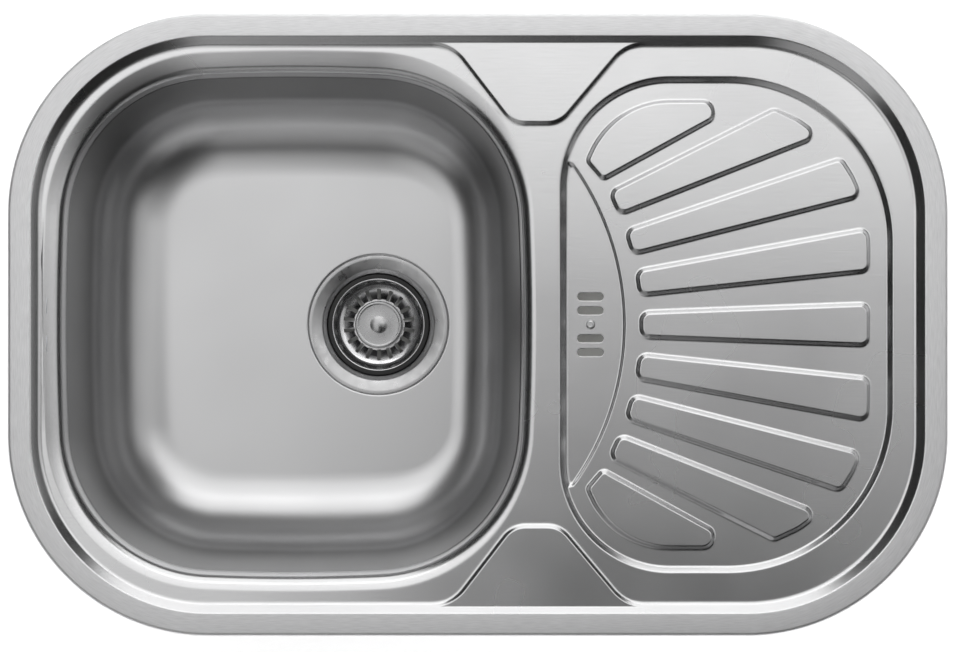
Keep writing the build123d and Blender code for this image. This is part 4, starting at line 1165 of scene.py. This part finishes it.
class SINK_OT_overflow(bpy.types.Operator):
    """Make the overflow's screw and dress its box, frame, insert, pipe and unions"""

    bl_idname = "sink.overflow"
    bl_label = "Overflow"

    def execute(self, context):
        tray, seat = context.scene.sink_tray, context.scene.sink_plate.crescent
        low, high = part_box("overflow_screw")
        socket_z, top = high.z - SCREW.socket_floor, high.z - SCREW.top_drop
        rows = bent_profile(
            [
                (0.0, socket_z),
                (SCREW.socket, socket_z),
                (SCREW.mouth, top, SCREW.mouth_bend),
                (SCREW.crown, top, SCREW.crown_bend),
                (SCREW.head, seat + SCREW.head_edge, SCREW.head_bend),
                (SCREW.head, seat),
                (SCREW.shank, seat),
                (SCREW.shank, low.z + SCREW.tip_length),
                (SCREW.tip, low.z),
                (0.0, low.z),
            ],
            degrees=15,
        )
        spun_piece(
            rows, tray.overflow_x, "overflow_screw_head", SINK, "overflow_screw", "plain_steel",
            steps=SCREW.stations,
        )
        for node, slot in (
            ("overflow_body", "white_plastic"),
            ("overflow_pipe", "white_plastic"),
            ("overflow_gasket", "black_rubber"),
            ("overflow_insert", "brass"),
            ("pipe_seal_top", "black_rubber"),
            ("pipe_seal_bottom", "black_rubber"),
            ("pipe_nut_top", "grey_plastic"),
            ("pipe_nut_bottom", "grey_plastic"),
        ):
            dressed_copy(node, SINK, slot)
        return {"FINISHED"}


class SINK_OT_waste(bpy.types.Operator):
    """Dress the waste body, its gaskets and the clamp under the bowl"""

    bl_idname = "sink.waste"
    bl_label = "Waste"

    def execute(self, context):
        for node, slot in (
            ("waste_body", "white_plastic"),
            ("body_gasket", "black_rubber"),
            ("flange_gasket", "black_rubber"),
            ("clamp_screw", "plain_steel"),
            ("clamp_insert", "brass"),
        ):
            dressed_copy(node, SINK, slot)
        return {"FINISHED"}


class SINK_OT_underside(bpy.types.Operator):
    """Dress the rim's foam strip and the damping pad under the bowl"""

    bl_idname = "sink.underside"
    bl_label = "Strip and pad"

    def execute(self, context):
        dressed_copy("rim_gasket", SINK, "grey_foam", STRIP_EDGE)
        dressed_copy("sound_pad", SINK, "damping_pad", SOUND_PAD_EDGE)
        return {"FINISHED"}


class SINK_OT_clips(bpy.types.Operator):
    """Dress the worktop clips: brackets, screws and claws"""

    bl_idname = "sink.clips"
    bl_label = "Worktop clips"

    def execute(self, context):
        dressed_copy("clip_brackets", SINK, "zinc_steel")
        for k in range(1, CLIPS + 1):
            for moving in (f"clip_screw_{k}", f"clip_claw_{k}"):
                dressed_copy(moving, moving, "zinc_steel")
        return {"FINISHED"}


class SINK_OT_studio(bpy.types.Operator):
    """Set the camera above the sink, the softboxes, the room's light and the pale floor"""

    bl_idname = "sink.studio"
    bl_label = "Studio"

    def execute(self, context):
        studio, scene = context.scene.sink_studio, context.scene
        scene.view_settings.view_transform = "Standard"
        lens = bpy.data.cameras.new("sink_camera")
        lens.lens = studio.lens
        lens.sensor_width = SENSOR_WIDTH
        lens.clip_end = VIEW_END
        camera = bpy.data.objects.new("sink_camera", lens)
        camera.location = (studio.camera_x, studio.camera_y, studio.camera_height)
        scene.collection.objects.link(camera)
        scene.camera = camera
        for name, radiance, share, place, size, aim in SOFTBOXES:
            box = self.softbox("softbox_" + name, getattr(studio, radiance) * share, place, size, aim)
            box.visible_glossy = name != "fill"
        self.room(scene, studio)
        self.floor(scene, studio)
        return {"FINISHED"}

    def softbox(self, name, radiance, place, size, aim):
        """A rectangular lamp that faces the place in plan that it is aimed at."""
        lamp = bpy.data.lights.new(name, "AREA")
        lamp.shape = "RECTANGLE"
        lamp.size, lamp.size_y = size
        lamp.energy = radiance * WATTS_PER_SQUARE_METRE * size[0] * size[1]
        box = bpy.data.objects.new(name, lamp)
        box.location = place
        box.rotation_euler = (Vector((*aim, 0)) - Vector(place)).to_track_quat("-Z", "Y").to_euler()
        box.visible_camera = False
        bpy.context.scene.collection.objects.link(box)
        return box

    def room(self, scene, studio):
        """The room: dim at the horizon, brighter above and behind."""
        world = bpy.data.worlds.new("sink_room")
        world.use_nodes = True
        scene.world = world
        nodes, links = world.node_tree.nodes, world.node_tree.links
        place = nodes.new("ShaderNodeTexCoord")
        split = nodes.new("ShaderNodeSeparateXYZ")
        rise = nodes.new("ShaderNodeValToRGB")
        elements = rise.color_ramp.elements
        elements.new(ROOM_TONES[1][0])
        for element, (position, tone) in zip(elements, ROOM_TONES):
            element.position, element.color = position, (tone, tone, tone, 1.0)
        back = nodes.new("ShaderNodeMapRange")
        back.inputs["From Min"].default_value, back.inputs["From Max"].default_value = -ROOM_DEPTH, ROOM_DEPTH
        for socket, share in zip(("To Min", "To Max"), ROOM_SHARES):
            back.inputs[socket].default_value = share * studio.room
        links.new(place.outputs["Generated"], split.inputs["Vector"])
        links.new(split.outputs["Z"], rise.inputs["Fac"])
        links.new(split.outputs["Y"], back.inputs["Value"])
        links.new(rise.outputs["Color"], nodes["Background"].inputs["Color"])
        links.new(back.outputs["Result"], nodes["Background"].inputs["Strength"])

    def floor(self, scene, studio):
        """A pale floor that glows for the camera and the metal alone, and that keeps the shadow."""
        bm = bmesh.new()
        bmesh.ops.create_grid(bm, x_segments=1, y_segments=1, size=FLOOR.half)
        bmesh.ops.translate(bm, verts=bm.verts, vec=(0, 0, CAD_BOX[0].z - FLOOR.gap))
        mesh = bpy.data.meshes.new("studio_floor")
        bm.to_mesh(mesh)
        bm.free()
        floor = bpy.data.objects.new("studio_floor", mesh)
        scene.collection.objects.link(floor)
        paint = Finish("floor_paint", tuple(studio.floor), FLOOR.roughness)
        path = paint.nodes.new("ShaderNodeLightPath")
        seen = paint.nodes.new("ShaderNodeMath")
        seen.operation = "MAXIMUM"
        glow = paint.nodes.new("ShaderNodeMapRange")
        glow.inputs["To Max"].default_value = FLOOR.glow
        paint.links.new(path.outputs["Is Camera Ray"], seen.inputs[0])
        paint.links.new(path.outputs["Is Glossy Ray"], seen.inputs[1])
        paint.links.new(seen.outputs["Value"], glow.inputs["Value"])
        paint.shader.inputs["Emission Color"].default_value = (1, 1, 1, 1)
        paint.links.new(glow.outputs["Result"], paint.shader.inputs["Emission Strength"])
        mesh.materials.append(paint.material)


class SINK_PT_tools(bpy.types.Panel):
    """The sink's makers in the sidebar"""

    bl_label = "Sink"
    bl_space_type = "VIEW_3D"
    bl_region_type = "UI"
    bl_category = "Sink"

    def draw(self, context):
        for operator in MAKERS:
            self.layout.operator(operator.bl_idname)


GROUPS = {
    "sink_plate": SinkPlateSizes,
    "sink_tray": SinkTraySizes,
    "sink_bowl": SinkBowlSizes,
    "sink_drain": SinkDrainSizes,
    "sink_finishes": SinkFinishes,
    "sink_studio": SinkStudio,
}
MAKERS = (
    SINK_OT_studio,
    SINK_OT_plate,
    SINK_OT_bowl,
    SINK_OT_strainer,
    SINK_OT_basket,
    SINK_OT_overflow,
    SINK_OT_waste,
    SINK_OT_underside,
    SINK_OT_clips,
)


def register():
    """Registers the sizes, makers and panel."""
    for cls in (*GROUPS.values(), *MAKERS, SINK_PT_tools):
        bpy.utils.register_class(cls)
    for name, group in GROUPS.items():
        setattr(bpy.types.Scene, name, PointerProperty(type=group))


def unregister():
    """Takes them away again."""
    for name in GROUPS:
        delattr(bpy.types.Scene, name)
    for cls in (SINK_PT_tools, *reversed(MAKERS), *reversed(GROUPS.values())):
        bpy.utils.unregister_class(cls)


def main():
    """Makes every piece."""
    register()
    bpy.ops.sink.studio()
    bpy.ops.sink.plate()
    bpy.ops.sink.bowl()
    bpy.ops.sink.strainer()
    bpy.ops.sink.basket()
    bpy.ops.sink.overflow()
    bpy.ops.sink.waste()
    bpy.ops.sink.underside()
    bpy.ops.sink.clips()


if __name__ == "__main__":
    main()
